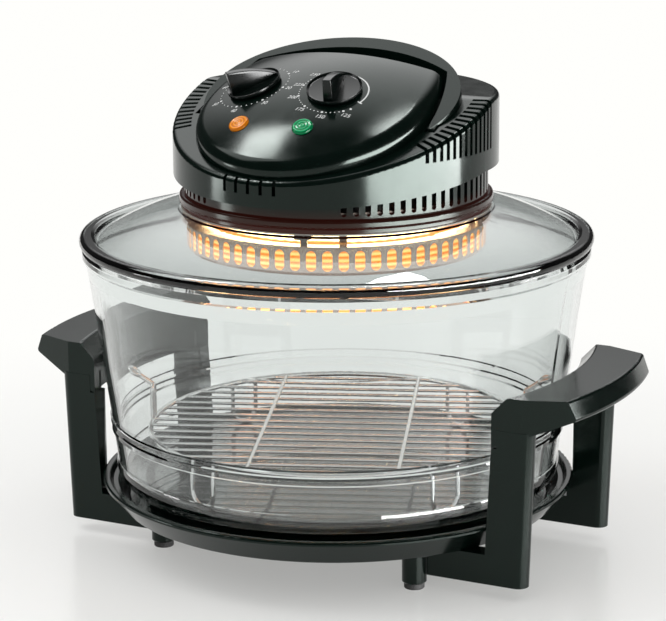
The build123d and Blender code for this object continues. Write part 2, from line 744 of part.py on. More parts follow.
with BuildPart() as guard_posts:
    post_turns = [POST_TURN + 90 * step for step in range(4)]
    with BuildSketch(Plane.XY.offset(GUARD_Z1)):
        with Locations(*[around(turn, POST_PCR)[:2] for turn in post_turns]):
            Circle(POST_R)
    extrude(amount=COLLAR_Z - GUARD_Z1)
    tab_end = LID_EYE_LAND - 2.0
    for turn in post_turns:
        tab_plane = Plane(
            origin=(0, 0, LID_EYE_Z - GLASS - TAB_T), x_dir=around(turn, 1.0), z_dir=(0, 0, 1)
        )
        with BuildSketch(tab_plane):
            with Locations(((POST_PCR - 4.0 + tab_end) / 2, 0)):
                RectangleRounded(tab_end - POST_PCR + 4.0, 11.0, 3.0)
        extrude(amount=TAB_T)
save(guard_posts.part, "guard_posts")

with BuildPart() as reflector:
    top = COLLAR_Z + REFLECTOR_RISE
    with BuildSketch(Plane.XZ):
        with BuildLine():
            Polyline(
                (SHAFT_R + 6.0, top - REFLECTOR_T),
                (REFLECTOR_FLAT_R, top - REFLECTOR_T),
                (REFLECTOR_R - 16.0, COLLAR_Z - REFLECTOR_T),
                (REFLECTOR_R, COLLAR_Z - REFLECTOR_T),
                (REFLECTOR_R, COLLAR_Z),
                (REFLECTOR_R - 16.4, COLLAR_Z),
                (REFLECTOR_FLAT_R - 0.4, top),
                (SHAFT_R + 6.0, top),
                close=True,
            )
        make_face()
    revolve(axis=Axis.Z)
save(reflector.part, "reflector")

lamp_arc = 360.0 - LAMP_GAP

with BuildPart() as halogen_lamp:
    start = Plane(
        origin=(0, 0, 0),
        x_dir=around(180 + LAMP_GAP / 2, 1.0),
        z_dir=around(270 + LAMP_GAP / 2, 1.0),
    )
    with BuildSketch(start) as lamp_section:
        with Locations((LAMP_R, LAMP_Z if start.y_dir.Z > 0 else -LAMP_Z)):
            Circle(LAMP_TUBE)
    revolve(axis=Axis.Z, revolution_arc=lamp_arc)
save(halogen_lamp.part, "halogen_lamp")

with BuildPart() as lamp_caps:
    for turn, way in ((180 + LAMP_GAP / 2, -1), (180 - LAMP_GAP / 2, 1)):
        centre = Vector(*around(turn, LAMP_R, LAMP_Z))
        along = Vector(cos(radians(turn)), sin(radians(turn)), 0) * way
        with BuildSketch(Plane(origin=centre, z_dir=along)):
            Circle(CAP_R)
        extrude(amount=CAP_L)
        stub = centre + along * (CAP_L - 4.0)
        with BuildSketch(Plane.XY.offset(LAMP_Z)):
            with Locations((stub.X, stub.Y)):
                Circle(3.5)
        extrude(amount=COLLAR_Z - REFLECTOR_T - LAMP_Z)
save(lamp_caps.part, "lamp_caps")

with BuildPart() as lamp_clips:
    for turn in (30, 150, 270):
        flat = Plane(
            origin=around(turn, LAMP_R, LAMP_Z),
            x_dir=around(turn, 1.0),
            z_dir=(-cos(radians(turn)), -sin(radians(turn)), 0),
        )
        with BuildSketch(flat):
            Circle(LAMP_TUBE + 1.4)
            with Locations((0, (COLLAR_Z - REFLECTOR_T - LAMP_Z) / 2)):
                Rectangle(3.0, COLLAR_Z - REFLECTOR_T - LAMP_Z)
            Circle(LAMP_TUBE + SLIP, mode=Mode.SUBTRACT)
        extrude(amount=2.5, both=True)
save(lamp_clips.part, "lamp_clips")

bush_r = SHAFT_R + 3.2

with BuildPart() as heat_shield:
    add(ring(COLLAR_R - COLLAR_WALL - SLIP, bush_r + SLIP, SHIELD_Z, SHIELD_Z + SHIELD_T))
    with Locations(*[(x, y, SHIELD_Z) for x, y in boss_spots]):
        Cylinder(BOSS_R + SLIP, 10.0, mode=Mode.SUBTRACT)
save(heat_shield.part, "heat_shield")

with BuildPart() as motor_bracket:
    floor = SHIELD_Z + SHIELD_T
    inner = BRACKET_HALF - BRACKET_T
    foot = BRACKET_HALF + BRACKET_FOOT
    with BuildSketch(Plane.YZ):
        with BuildLine():
            Polyline(
                (-inner, floor),
                (-inner, BRACKET_TOP - BRACKET_T),
                (inner, BRACKET_TOP - BRACKET_T),
                (inner, floor),
                (foot, floor),
                (foot, floor + BRACKET_T),
                (BRACKET_HALF, floor + BRACKET_T),
                (BRACKET_HALF, BRACKET_TOP),
                (-BRACKET_HALF, BRACKET_TOP),
                (-BRACKET_HALF, floor + BRACKET_T),
                (-foot, floor + BRACKET_T),
                (-foot, floor),
                close=True,
            )
        make_face()
    extrude(amount=BRACKET_W / 2, both=True)
    with Locations((0, 0, BRACKET_TOP)):
        Cylinder(bush_r + SLIP, 3 * BRACKET_T, mode=Mode.SUBTRACT)
save(motor_bracket.part, "motor_bracket")

with BuildPart() as motor_stator:
    with BuildSketch(Plane.XY.offset(MOTOR_Z0)):
        RectangleRounded(2 * MOTOR_X, 2 * MOTOR_Y, 3.0)
        Circle(MOTOR_BORE, mode=Mode.SUBTRACT)
    extrude(amount=MOTOR_Z1 - MOTOR_Z0)
save(motor_stator.part, "motor_stator")

with BuildPart() as motor_coil:
    with BuildSketch(Plane.YZ.offset(MOTOR_X)):
        with Locations((0, (MOTOR_Z0 + MOTOR_Z1) / 2)):
            RectangleRounded(26.0, MOTOR_Z1 - MOTOR_Z0 + 4.0, 3.0)
    extrude(amount=11.0)
save(motor_coil.part, "motor_coil")

with BuildPart() as shaft_bushes:
    for plate_z, plate_t, below in (
        (SHIELD_Z, SHIELD_T, True),
        (BRACKET_TOP - BRACKET_T, BRACKET_T, False),
    ):
        with BuildSketch(Plane.XY.offset(plate_z)):
            Circle(bush_r)
        extrude(amount=plate_t)
        with BuildSketch(Plane.XY.offset(plate_z if below else plate_z + plate_t)):
            Circle(bush_r + 1.6)
        extrude(amount=-1.6 if below else 1.6)
    with Locations((0, 0, SHIELD_Z)):
        Cylinder(SHAFT_R + RUNNING, FAR / 2, mode=Mode.SUBTRACT)
save(shaft_bushes.part, "shaft_bushes")

with BuildPart() as fan_shaft:
    with BuildSketch(Plane.XY.offset(SHAFT_Z0)):
        Circle(SHAFT_R)
    extrude(amount=SHAFT_Z1 - SHAFT_Z0)
    chamfer(fan_shaft.edges(), 0.4)
save(fan_shaft.part, "fan_shaft")


def fan(radius, z, blades, blade_h, down, twist):
    """Stamped fan: a disc on a hub with upright blades around it."""
    with BuildPart() as made:
        with BuildSketch(Plane.XY.offset(z)):
            Circle(radius)
        extrude(amount=FAN_T)
        edge = Plane.XY.offset(z) if down else Plane.XY.offset(z + FAN_T)
        height = -blade_h if down else blade_h
        with BuildSketch(edge):
            with PolarLocations(radius * 0.68, blades):
                Rectangle(radius * 0.6, FAN_T, rotation=twist)
        extrude(amount=height)
        with BuildSketch(edge):
            Circle(HUB_R)
        extrude(amount=height * 0.75)
        with BuildSketch(Plane.XY):
            Circle(SHAFT_R)
        extrude(amount=FAR, mode=Mode.SUBTRACT)
    return made.part


save(fan(FAN_R, FAN_Z, FAN_BLADES, FAN_BLADE_H, True, 18.0), "convection_fan")
save(fan(COOLER_R, COOLER_Z, COOLER_BLADES, COOLER_BLADE_H, False, -18.0), "cooling_fan")
save(ring(ROTOR_R, SHAFT_R, MOTOR_Z0 + 0.5, MOTOR_Z1 - 0.7), "motor_rotor")

# ============ Upper housing ============


def panel_outline(inset):
    """Plan of the control panel in the tilted plane: a round nose and two long side curves."""
    nose = NOSE_R - inset
    side = SIDE_R - inset
    centre_x = NOSE_R - SIDE_R
    end_y = PANEL_END_Y
    sweep_angle = atan2(end_y - NOSE_Y, sqrt(side**2 - (end_y - NOSE_Y) ** 2))
    end_x = centre_x + side * cos(sweep_angle)
    mid = (centre_x + side * cos(sweep_angle / 2), NOSE_Y + side * sin(sweep_angle / 2))
    with BuildSketch() as plan:
        with BuildLine():
            ThreePointArc((-nose, NOSE_Y), (0, NOSE_Y - nose), (nose, NOSE_Y))
            ThreePointArc((nose, NOSE_Y), mid, (end_x, end_y))
            Line((end_x, end_y), (-end_x, end_y))
            ThreePointArc((-end_x, end_y), (-mid[0], mid[1]), (-nose, NOSE_Y))
        make_face()
    return plan.sketch


def panel_rear(offset):
    """Everything behind the panel's shallow hollow rear wall."""
    with BuildPart() as made:
        with BuildSketch(Plane.XY.offset(LEDGE_Z - 60.0)):
            with Locations((0, PANEL_REAR_Y + PANEL_REAR_R)):
                Circle(PANEL_REAR_R + offset)
        extrude(amount=FAR / 2)
    return made.part


def panel_form(inset, base):
    """Crowned body of the panel, drawn in by a wall thickness, from a depth below its seat."""
    with BuildPart() as made:
        with BuildSketch(TILT_PLANE.offset(-base)):
            add(panel_outline(inset))
        extrude(amount=base + CROWN_H + 10.0)
        with Locations(TILT_PLANE.from_local_coords((0, CROWN_Y, CROWN_H - CROWN_R))):
            Sphere(CROWN_R - inset, mode=Mode.INTERSECT)
        crown = made.faces().filter_by(GeomType.SPHERE)[0]
        shoulder = crown.edges().filter_by(
            lambda e: TILT_PLANE.to_local_coords(e @ 0.5).Y < PANEL_END_Y - 1.0
        )
        fillet(shoulder, PANEL_FILLET - inset)
        add(panel_rear(inset), mode=Mode.SUBTRACT)
    return made.part


def crown_plane(x, y):
    """Plane lying on the panel's crown at a point of the tilted plan, facing outwards."""
    centre = Vector(0, CROWN_Y, CROWN_H - CROWN_R)
    up = sqrt(CROWN_R**2 - x**2 - (y - CROWN_Y) ** 2)
    spot = Vector(x, y, centre.Z + up)
    normal = TILT_PLANE.from_local_coords(spot) - TILT_PLANE.from_local_coords(centre)
    return Plane(
        origin=TILT_PLANE.from_local_coords(spot), x_dir=(1, 0, 0), z_dir=normal
    )


HINGE_Z = tilt_z(HINGE_Y) - HINGE_DEPTH
sides = (1, -1)


def pocket(grow, z0):
    """Room for both handle lugs; grown by a wall thickness it gives the cheeks around them."""
    y0 = HINGE_Y - POCKET_FRONT - grow
    y1 = HINGE_Y + POCKET_REAR + grow
    with BuildPart() as made:
        with BuildSketch(Plane.XY.offset(z0)):
            with Locations(*[(s * (POCKET_X0 + POCKET_X1) / 2, (y0 + y1) / 2) for s in sides]):
                Rectangle(POCKET_X1 - POCKET_X0 + 2 * grow, y1 - y0)
        extrude(amount=FAR / 4)
    return made.part


pocket_z = HINGE_Z - POCKET_DROP

with BuildPart() as cheeks:
    add(pocket(CHEEK_T, pocket_z - POCKET_FLOOR))
    add(drum(DRUM_R - 1.0, COLLAR_TOP, 1.0, 1.0), mode=Mode.INTERSECT)

with BuildPart() as upper_housing:
    add(drum(DRUM_R, SKIRT_FRONT_Z - 5.0, 0.0, 0.0))
    top_rim = upper_housing.edges().filter_by(
        lambda e: e.geom_type != GeomType.LINE
        and (e @ 0.5).Z > tilt_z(-DRUM_R) - 0.5
        and abs(sqrt((e @ 0.5).X ** 2 + (e @ 0.5).Y ** 2) - DRUM_R) < 0.1
    )
    fillet(top_rim, RIM_FILLET)
    add(
        drum(DRUM_R - DRUM_WALL, SKIRT_FRONT_Z - 6.0, DRUM_TOP_WALL, DRUM_WALL),
        mode=Mode.SUBTRACT,
    )
    # posts that the fixing screws run up into
    for sy, top in ((-1, tilt_z(-BOSS_PCR * cos(radians(BOSS_TURN))) - 2.4), (1, LEDGE_Z - 1.0)):
        with BuildSketch(Plane.XY.offset(COLLAR_TOP)):
            with Locations(*[spot for spot in boss_spots if spot[1] * sy > 0]):
                Circle(BOSS_R)
        extrude(amount=top - COLLAR_TOP)
    add(cheeks.part)
    # skirt: its edge dips over the front of the collar
    with BuildSketch(Plane.YZ):
        dip = (SKIRT_SIDE_Z - SKIRT_FRONT_Z) / DRUM_R
        with BuildLine():
            Polyline(
                (-FAR / 2, SKIRT_SIDE_Z - dip * FAR / 2),
                (0, SKIRT_SIDE_Z),
                (FAR / 2, SKIRT_SIDE_Z),
                (FAR / 2, 0),
                (-FAR / 2, 0),
                close=True,
            )
        make_face()
    extrude(amount=FAR / 2, both=True, mode=Mode.SUBTRACT)
    # rebate that the control panel drops into, and the opening under the panel
    for grow, depth in ((PANEL_FIT, PANEL_SEAT), (-PANEL_LAND, PANEL_SEAT + 5.0)):
        with BuildPart(mode=Mode.PRIVATE) as room:
            with BuildSketch(TILT_PLANE.offset(-depth)):
                add(panel_outline(-grow))
            extrude(amount=FAR / 4)
            add(panel_rear(-grow), mode=Mode.SUBTRACT)
        add(room.part, mode=Mode.SUBTRACT)
    add(pocket(0.0, pocket_z), mode=Mode.SUBTRACT)
    with BuildSketch(Plane.YZ.offset(-FAR / 2)):
        with Locations((HINGE_Y, HINGE_Z)):
            Circle(PIN_R)
    pin_bore = extrude(amount=FAR, mode=Mode.PRIVATE)
    with BuildPart(mode=Mode.PRIVATE) as pin_room:
        add(pin_bore)
        with Locations((0, HINGE_Y, HINGE_Z)):
            Box(2 * (POCKET_X1 + CHEEK_T - 1.0), 20, 20, mode=Mode.INTERSECT)
            Box(2 * (POCKET_X0 - CHEEK_T), 20, 20, mode=Mode.SUBTRACT)
    add(pin_room.part, mode=Mode.SUBTRACT)
    # louvres over both shoulders
    louvre_l = DRUM_R + 3.0 - LOUVRE_IN_R
    louvre_sweep = LOUVRE_PITCH * (LOUVRE_COUNT - 1)
    with BuildSketch(Plane.XY.offset(LOUVRE_Z)):
        for first in (LOUVRE_START - 90.0, -90.0 - LOUVRE_START - louvre_sweep):
            with PolarLocations(
                LOUVRE_IN_R + louvre_l / 2, LOUVRE_COUNT, first, louvre_sweep, endpoint=True
            ):
                Rectangle(louvre_l, LOUVRE_W)
    extrude(amount=FAR / 4, mode=Mode.SUBTRACT)
    # short vents over the front rim
    vent_l = DRUM_R + 3.0 - VENT_IN_R
    vent_sweep = VENT_PITCH * (VENT_COUNT - 1)
    with BuildSketch(Plane.XY.offset(VENT_Z)):
        with PolarLocations(
            VENT_IN_R + vent_l / 2, VENT_COUNT, VENT_TURN - vent_sweep / 2 - 90.0, vent_sweep,
            endpoint=True,
        ):
            Rectangle(vent_l, VENT_W)
    extrude(amount=FAR / 4, mode=Mode.SUBTRACT)
    # cord inlet at the rear
    for radius, from_y in ((INLET_R + SLIP, DRUM_R - 10.0), (INLET_FLANGE_R + SLIP, INLET_FLAT_Y)):
        with BuildSketch(Plane.XZ.offset(-from_y)):
            with Locations((0, INLET_Z)):
                Circle(radius)
        extrude(amount=-20.0, mode=Mode.SUBTRACT)
    # bores for the fixing screws and for the switch plunger
    with BuildSketch(Plane.XY.offset(COLLAR_TOP)):
        with Locations(*boss_spots):
            Circle(SCREW_R)
    extrude(amount=4.0, mode=Mode.SUBTRACT)
    with BuildSketch(Plane.XY.offset(pocket_z - POCKET_FLOOR)):
        with Locations(((LUG_X0 + LUG_X1) / 2, HINGE_Y)):
            Circle(PLUNGER_R + SLIP)
    extrude(amount=POCKET_FLOOR, mode=Mode.SUBTRACT)
save(upper_housing.part, "upper_housing")

with BuildPart() as cord_gland:
    for radius, from_y, length in (
        (INLET_R, DRUM_R - 8.0, INLET_FLAT_Y - DRUM_R + 8.0 + INLET_FLANGE_T),
        (INLET_FLANGE_R, INLET_FLAT_Y, INLET_FLANGE_T),
    ):
        with BuildSketch(Plane.XZ.offset(-from_y)):
            with Locations((0, INLET_Z)):
                Circle(radius)
        extrude(amount=-length)
    with BuildSketch(Plane.XZ.offset(-DRUM_R + 20.0)):
        with Locations((0, INLET_Z)):
            Circle(INLET_BORE)
    extrude(amount=-40.0, mode=Mode.SUBTRACT)
save(cord_gland.part, "cord_gland")

with BuildPart() as housing_screws:
    for x, y in boss_spots:
        with BuildSketch(Plane.XY.offset(COLLAR_Z + 1.0)):
            with Locations((x, y)):
                Circle(SCREW_HEAD_R - SLIP)
        extrude(amount=SCREW_HEAD_H)
        with BuildSketch(Plane.XY.offset(COLLAR_Z + 1.0)):
            with Locations((x, y)):
                Circle(SCREW_R)
        extrude(amount=COLLAR_TOP + 4.0 - COLLAR_Z - 1.0)
save(housing_screws.part, "housing_screws")

# ============ Control panel ============

timer_plane = crown_plane(*TIMER_AT)
thermo_plane = crown_plane(*THERMO_AT)
amber_plane = crown_plane(*AMBER_AT)
green_plane = crown_plane(*GREEN_AT)
seat_depth = PANEL_WALL + BOSS_DROP

with BuildPart() as control_panel:
    add(panel_form(0.0, PANEL_SEAT))
    add(panel_form(PANEL_WALL, PANEL_SEAT + 1.0), mode=Mode.SUBTRACT)
    for place in (timer_plane, thermo_plane):
        with BuildSketch(place.offset(-seat_depth)):
            Circle(NECK_R + 3.0)
        extrude(amount=seat_depth - 1.0)
        with BuildSketch(place.offset(-seat_depth)):
            Circle(SPINDLE_HOLE)
        extrude(amount=2 * seat_depth, mode=Mode.SUBTRACT)
    for place in (amber_plane, green_plane):
        with BuildSketch(place.offset(-seat_depth)):
            Circle(LENS_STEM_R + SLIP)
        extrude(amount=2 * seat_depth, mode=Mode.SUBTRACT)
        with BuildSketch(place.offset(-LENS_SINK)):
            Circle(LENS_R + SLIP)
        extrude(amount=seat_depth, mode=Mode.SUBTRACT)
save(control_panel.part, "control_panel")

for place, name in ((timer_plane, "timer_unit"), (thermo_plane, "thermostat_unit")):
    with BuildPart() as unit:
        with BuildSketch(place.offset(-seat_depth)):
            Circle(NECK_R)
        extrude(amount=-UNIT_DROP)
        with BuildSketch(place.offset(-seat_depth - UNIT_DROP)):
            RectangleRounded(UNIT_SIDE, UNIT_SIDE, 3.0)
        extrude(amount=-UNIT_H)
        with BuildSketch(place.offset(KNOB_GAP - SPINDLE_L - 1.0)):
            Circle(SPINDLE_R + RUNNING)
        extrude(amount=SPINDLE_L, mode=Mode.SUBTRACT)
    save(unit.part, name)


def knob(place, grip_turn):
    """Dished dial with a raised rim, a bar grip across it and a spindle below."""
    with BuildPart() as made:
        with BuildSketch(place.offset(KNOB_GAP)):
            Circle(KNOB_R)
        extrude(amount=KNOB_H)
        fillet(made.edges().group_by(Axis(place.origin, place.z_dir))[-1], 0.7)
        with BuildSketch(place.offset(KNOB_GAP + KNOB_H - KNOB_DISH)):
            Circle(KNOB_R - KNOB_RIM)
        extrude(amount=KNOB_H, mode=Mode.SUBTRACT)
        with BuildSketch(place.offset(KNOB_GAP + 0.4)):
            SlotOverall(2 * KNOB_R - 0.6, GRIP_W, rotation=grip_turn)
        extrude(amount=GRIP_H - 0.4)
        fillet(made.edges().group_by(Axis(place.origin, place.z_dir))[-1], 1.2)
        with BuildSketch(place.offset(KNOB_GAP)):
            Circle(SPINDLE_R)
        extrude(amount=-SPINDLE_L)
    return made.part


save(knob(timer_plane, TIMER_GRIP), "timer_knob")
save(knob(thermo_plane, THERMO_GRIP), "thermostat_knob")

for place, name in ((amber_plane, "amber_lens"), (green_plane, "green_lens")):
    with BuildPart() as lens:
        with BuildSketch(place.offset(-LENS_SINK)):
            Circle(LENS_R)
        extrude(amount=LENS_SINK + LENS_CAP)
        fillet(lens.edges().group_by(Axis(place.origin, place.z_dir))[-1], 1.2)
        with BuildSketch(place.offset(-LENS_SINK)):
            Circle(LENS_STEM_R)
        extrude(amount=-LENS_STEM_L)
        with BuildSketch(place.offset(-LENS_SINK - LENS_STEM_L)):
            Circle(NEON_R + SLIP)
        extrude(amount=LENS_STEM_L - 1.0, mode=Mode.SUBTRACT)
    save(lens.part, name)

with BuildPart() as indicator_lamps:
    for place in (amber_plane, green_plane):
        with BuildSketch(place.offset(-LENS_SINK - LENS_STEM_L)):
            Circle(NEON_R)
        extrude(amount=LENS_STEM_L - 3.0)
        with BuildSketch(place.offset(-LENS_SINK - LENS_STEM_L)):
            Circle(LENS_STEM_R)
        extrude(amount=-2.0)
save(indicator_lamps.part, "indicator_lamps")

# ============ Carry handle, its pins and the safety switch ============

bail_z0 = tilt_z(BAIL_Y0)
lug_mid = (LUG_X0 + LUG_X1) / 2


def bail_z(y):
    """Height of the folded handle's flat top at a given y."""
    return bail_z0 + (y - BAIL_Y0) * BAIL_RISE


with BuildPart() as carry_handle:
    for z, (half_x, half_y) in ((BAIL_BASE_Z, BAIL_BASE), (BAIL_CREST_Z, BAIL_CREST)):
        with BuildSketch(Plane.XY.offset(z)):
            with Locations((0, BAIL_CENTRE_Y)):
                Ellipse(half_x, half_y)
    loft()
    drop = BAIL_DEPTH / cos(radians(BAIL_SLOPE))
    with BuildSketch(Plane.YZ):
        with BuildLine():
            Polyline(
                (BAIL_FRONT_Y, bail_z(BAIL_FRONT_Y)),
                (FAR / 4, bail_z(FAR / 4)),
                (FAR / 4, bail_z(FAR / 4) - drop),
                (BAIL_FRONT_Y, bail_z(BAIL_FRONT_Y) - drop),
                close=True,
            )
        make_face()
    extrude(amount=FAR / 2, both=True, mode=Mode.INTERSECT)
    with BuildPart(mode=Mode.PRIVATE) as inside:
        with BuildSketch(TILT_PLANE.offset(-20.0)):
            add(panel_outline(-BAIL_GAP))
        extrude(amount=90.0)
        arc_rise = BAIL_ARC_Y - BAIL_CORNER_Y
        corner_x = NOSE_R - 7.5
        arc_r = (corner_x**2 + arc_rise**2) / (2 * arc_rise)
        with BuildSketch(Plane.XY.offset(BAIL_BASE_Z - 60.0)):
            with Locations((0, BAIL_ARC_Y - arc_r)):
                Circle(arc_r)
        extrude(amount=FAR / 2, mode=Mode.INTERSECT)
    add(inside.part, mode=Mode.SUBTRACT)
    with BuildSketch(Plane.YZ):
        add(tilted_top(-BAIL_LIFT, -BAIL_LIFT))
    extrude(amount=FAR / 2, both=True, mode=Mode.INTERSECT)
    for side in sides:
        with BuildSketch(Plane.YZ.offset(side * lug_mid)):
            with BuildLine():
                Polyline(
                    (HINGE_Y - LUG_R, HINGE_Z),
                    (HINGE_Y + LUG_R, HINGE_Z),
                    (HINGE_Y + LUG_R, bail_z(HINGE_Y + LUG_R) - 0.2),
                    (HINGE_Y - LUG_R, bail_z(HINGE_Y - LUG_R) - 0.2),
                    close=True,
                )
            make_face()
            with Locations((HINGE_Y, HINGE_Z)):
                Circle(LUG_R)
        extrude(amount=(LUG_X1 - LUG_X0) / 2, both=True)
    with BuildSketch(Plane.YZ.offset(lug_mid)):
        with Locations((HINGE_Y, HINGE_Z - NIB_R / 2)):
            Rectangle(NIB_W, NIB_R)
    extrude(amount=(LUG_X1 - LUG_X0) / 2, both=True)
    with BuildSketch(Plane.YZ.offset(-FAR / 2)):
        with Locations((HINGE_Y, HINGE_Z)):
            Circle(PIN_R + RUNNING)
    extrude(amount=FAR, mode=Mode.SUBTRACT)
save(carry_handle.part, "carry_handle")

with BuildPart() as hinge_pins:
    for side in sides:
        with BuildSketch(Plane.YZ.offset(side * (POCKET_X0 - CHEEK_T))):
            with Locations((HINGE_Y, HINGE_Z)):
                Circle(PIN_R)
        extrude(amount=side * (POCKET_X1 - POCKET_X0 + 2 * CHEEK_T - 1.0))
save(hinge_pins.part, "hinge_pins")

plunger_top = HINGE_Z - NIB_R - PLUNGER_GAP

with BuildPart() as switch_plunger:
    with BuildSketch(Plane.XY.offset(plunger_top - PLUNGER_L)):
        with Locations((lug_mid, HINGE_Y)):
            Circle(PLUNGER_R)
    extrude(amount=PLUNGER_L)
save(switch_plunger.part, "switch_plunger")

with BuildPart() as safety_switch:
    switch_top = pocket_z - POCKET_FLOOR
    with BuildSketch(Plane.XY.offset(switch_top)):
        with Locations((lug_mid, HINGE_Y)):
            RectangleRounded(SWITCH_W, SWITCH_L, 1.0)
            Circle(PLUNGER_R + RUNNING, mode=Mode.SUBTRACT)
    extrude(amount=-SWITCH_H)
    with BuildSketch(Plane.XY.offset(switch_top - SWITCH_H)):
        with Locations((lug_mid, HINGE_Y)):
            RectangleRounded(SWITCH_W, SWITCH_L, 1.0)
    extrude(amount=-2.0)
save(safety_switch.part, "safety_switch")
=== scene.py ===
"""Finishes, dial markings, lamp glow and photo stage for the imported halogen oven."""

import math

import bpy
from mathutils import Matrix, Vector


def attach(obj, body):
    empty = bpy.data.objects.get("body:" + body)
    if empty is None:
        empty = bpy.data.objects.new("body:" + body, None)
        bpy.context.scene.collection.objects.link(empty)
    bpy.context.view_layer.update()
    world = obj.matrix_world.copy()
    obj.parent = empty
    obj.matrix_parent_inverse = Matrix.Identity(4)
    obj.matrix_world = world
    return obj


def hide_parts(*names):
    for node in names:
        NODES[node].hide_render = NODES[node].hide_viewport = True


bl_info = {
    "name": "Halogen oven finishes",
    "version": (1, 0, 0),
    "blender": (4, 5, 0),
    "location": "3D View > Sidebar > Oven",
    "description": "Dresses the packed halogen oven: plastics, glass, metals, scales, stage",
    "category": "Object",
}

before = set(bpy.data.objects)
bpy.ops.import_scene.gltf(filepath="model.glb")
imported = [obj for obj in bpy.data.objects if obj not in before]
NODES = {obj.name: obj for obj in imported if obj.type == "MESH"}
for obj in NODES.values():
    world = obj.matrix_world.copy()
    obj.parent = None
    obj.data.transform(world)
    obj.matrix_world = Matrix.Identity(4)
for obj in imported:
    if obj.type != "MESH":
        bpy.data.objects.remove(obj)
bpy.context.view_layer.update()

MM = 0.001
RELIEF_DEPTH = 0.4 * MM

# The crown of the control panel: a sphere on a plane that tilts forward, as in the solids.
TILT = math.radians(19.5)
TILT_ORIGIN = Vector((0, 0, 299.5)) * MM
CROWN_R = 220 * MM
CROWN_CENTRE = Vector((0, -20, 26 - 220)) * MM
TIMER_AT = (-39.2, -32.3)
THERMO_AT = (20.6, -34.7)
AMBER_AT = (-30.4, -73.5)
GREEN_AT = (15.6, -73.5)

# The lit tube's height and the half height of its white line, the ribbed ring behind the guard's
# slots, which carries a painted reflection of the tube, and the collar's foot, from which a painted
# red glow of the tube's light reaches to a height above it.
LAMP_Z = 221.4 * MM
TUBE_CORE = 1.5 * MM
RIB_R = 94.5 * MM
RIB_DEPTH = 1.2 * MM
RIB_WALL = 0.5 * MM
RIB_FOOT, RIB_TOP = 203.5 * MM, 217.6 * MM
RIBS = 4
COLLAR_FOOT = 229.5 * MM
PAINTED_GLOW_REACH = 16 * MM

# The dials: a low dished disc with a fin across it.
KNOB_R = 18.0 * MM
KNOB_H = 2.8 * MM
KNOB_DISH = 1.6 * MM
KNOB_RIM = 1.6 * MM
KNOB_GAP = 0.6 * MM
SPINDLE_R = 3.0 * MM
SPINDLE_L = 22.0 * MM
GRIP_W = 6.4 * MM
GRIP_TOP = 17.1 * MM
FIN_BULGE = 2.2 * MM
FIN_DRAFT = 0.16
FIN_LEAN = 0.12
FIN_SINK = 0.2 * MM
FIN_INSET = 0.3 * MM
FIN_LOW = 0.4 * MM
DISH_SOFT, FIN_SOFT = 0.5 * MM, 0.9 * MM
TIMER_FIN, THERMO_FIN = 225.0, -80.0

# The printed scales: thickness of the ink, and the white arc that ends in a stop mark. Turns are
# in degrees from the panel's right.
INK = 0.06 * MM
INK_LIFT = 0.05 * MM
ARC_R = 21.6 * MM
ARC_W, STOP_W = 0.9 * MM, 3.4 * MM
ARC_START, ARC_END, STOP_END = 80.0, -17.0, -20.0

# Camera, as found from the photograph.
CAMERA_TURN = math.radians(27.5)
CAMERA_PITCH = math.radians(13.85)
CAMERA_ROLL = math.radians(-0.4)
CAMERA_AWAY = 1.684
CAMERA_HEIGHT = 0.571
CAMERA_SIDE = -0.0027
CAMERA_LENS = 140.54

# The room. Its white is what the camera and the glass see, and its light part, which gloss mirrors,
# stands behind the oven and above it. The floor fades to white between two distances from the
# middle, and its shadow is lifted part of the way.
WHITE = (1.0, 0.998, 0.975, 1)
BACK_GLOW = (-0.31, 0.64, 0.70)
GLOW_EDGE = 0.80
GLOW_FRONT, GLOW_BACK = 0.05, 2.2
FLOOR_SIZE = 12.0
FADE_FROM, FADE_TO = 0.24, 0.62
SHADOW_LIFT = 0.34

# Name, turn and rise in degrees, distance, height of the aim, size, share of its level, and
# whether only gloss and metal mirror it.
LIGHTS = (
    ("Key softbox", 200, 52, 2.4, 0.2, (1.2, 1.2), 1.0, False),
    ("Upper left card", 178, 59, 2.0, 0.28, (0.42, 0.42), 1.0, True),
    ("Overhead card", 80, 73, 1.8, 0.28, (0.24, 0.62), 1.0, True),
    ("Right card", -6, 4, 1.05, 0.10, (1.55, 0.42), 1.3, True),
    ("Low left card", -150, 0, 1.2, 0.04, (0.22, 0.22), 0.5, True),
)

BLACK_NODES = (
    "base_tray", "side_handle_left", "side_handle_right", "leg_front_left", "leg_front_right",
    "leg_rear_left", "leg_rear_right", "feet", "upper_housing",
    "control_panel", "carry_handle",
)
STEEL_NODES = (
    "leg_screws", "housing_screws", "guard_posts", "lamp_clips", "motor_bracket",
    "motor_stator", "motor_rotor", "shaft_bushes", "hinge_pins", "fan_shaft",
)
GREY_NODES = ("timer_unit", "thermostat_unit", "safety_switch", "switch_plunger", "cooling_fan")

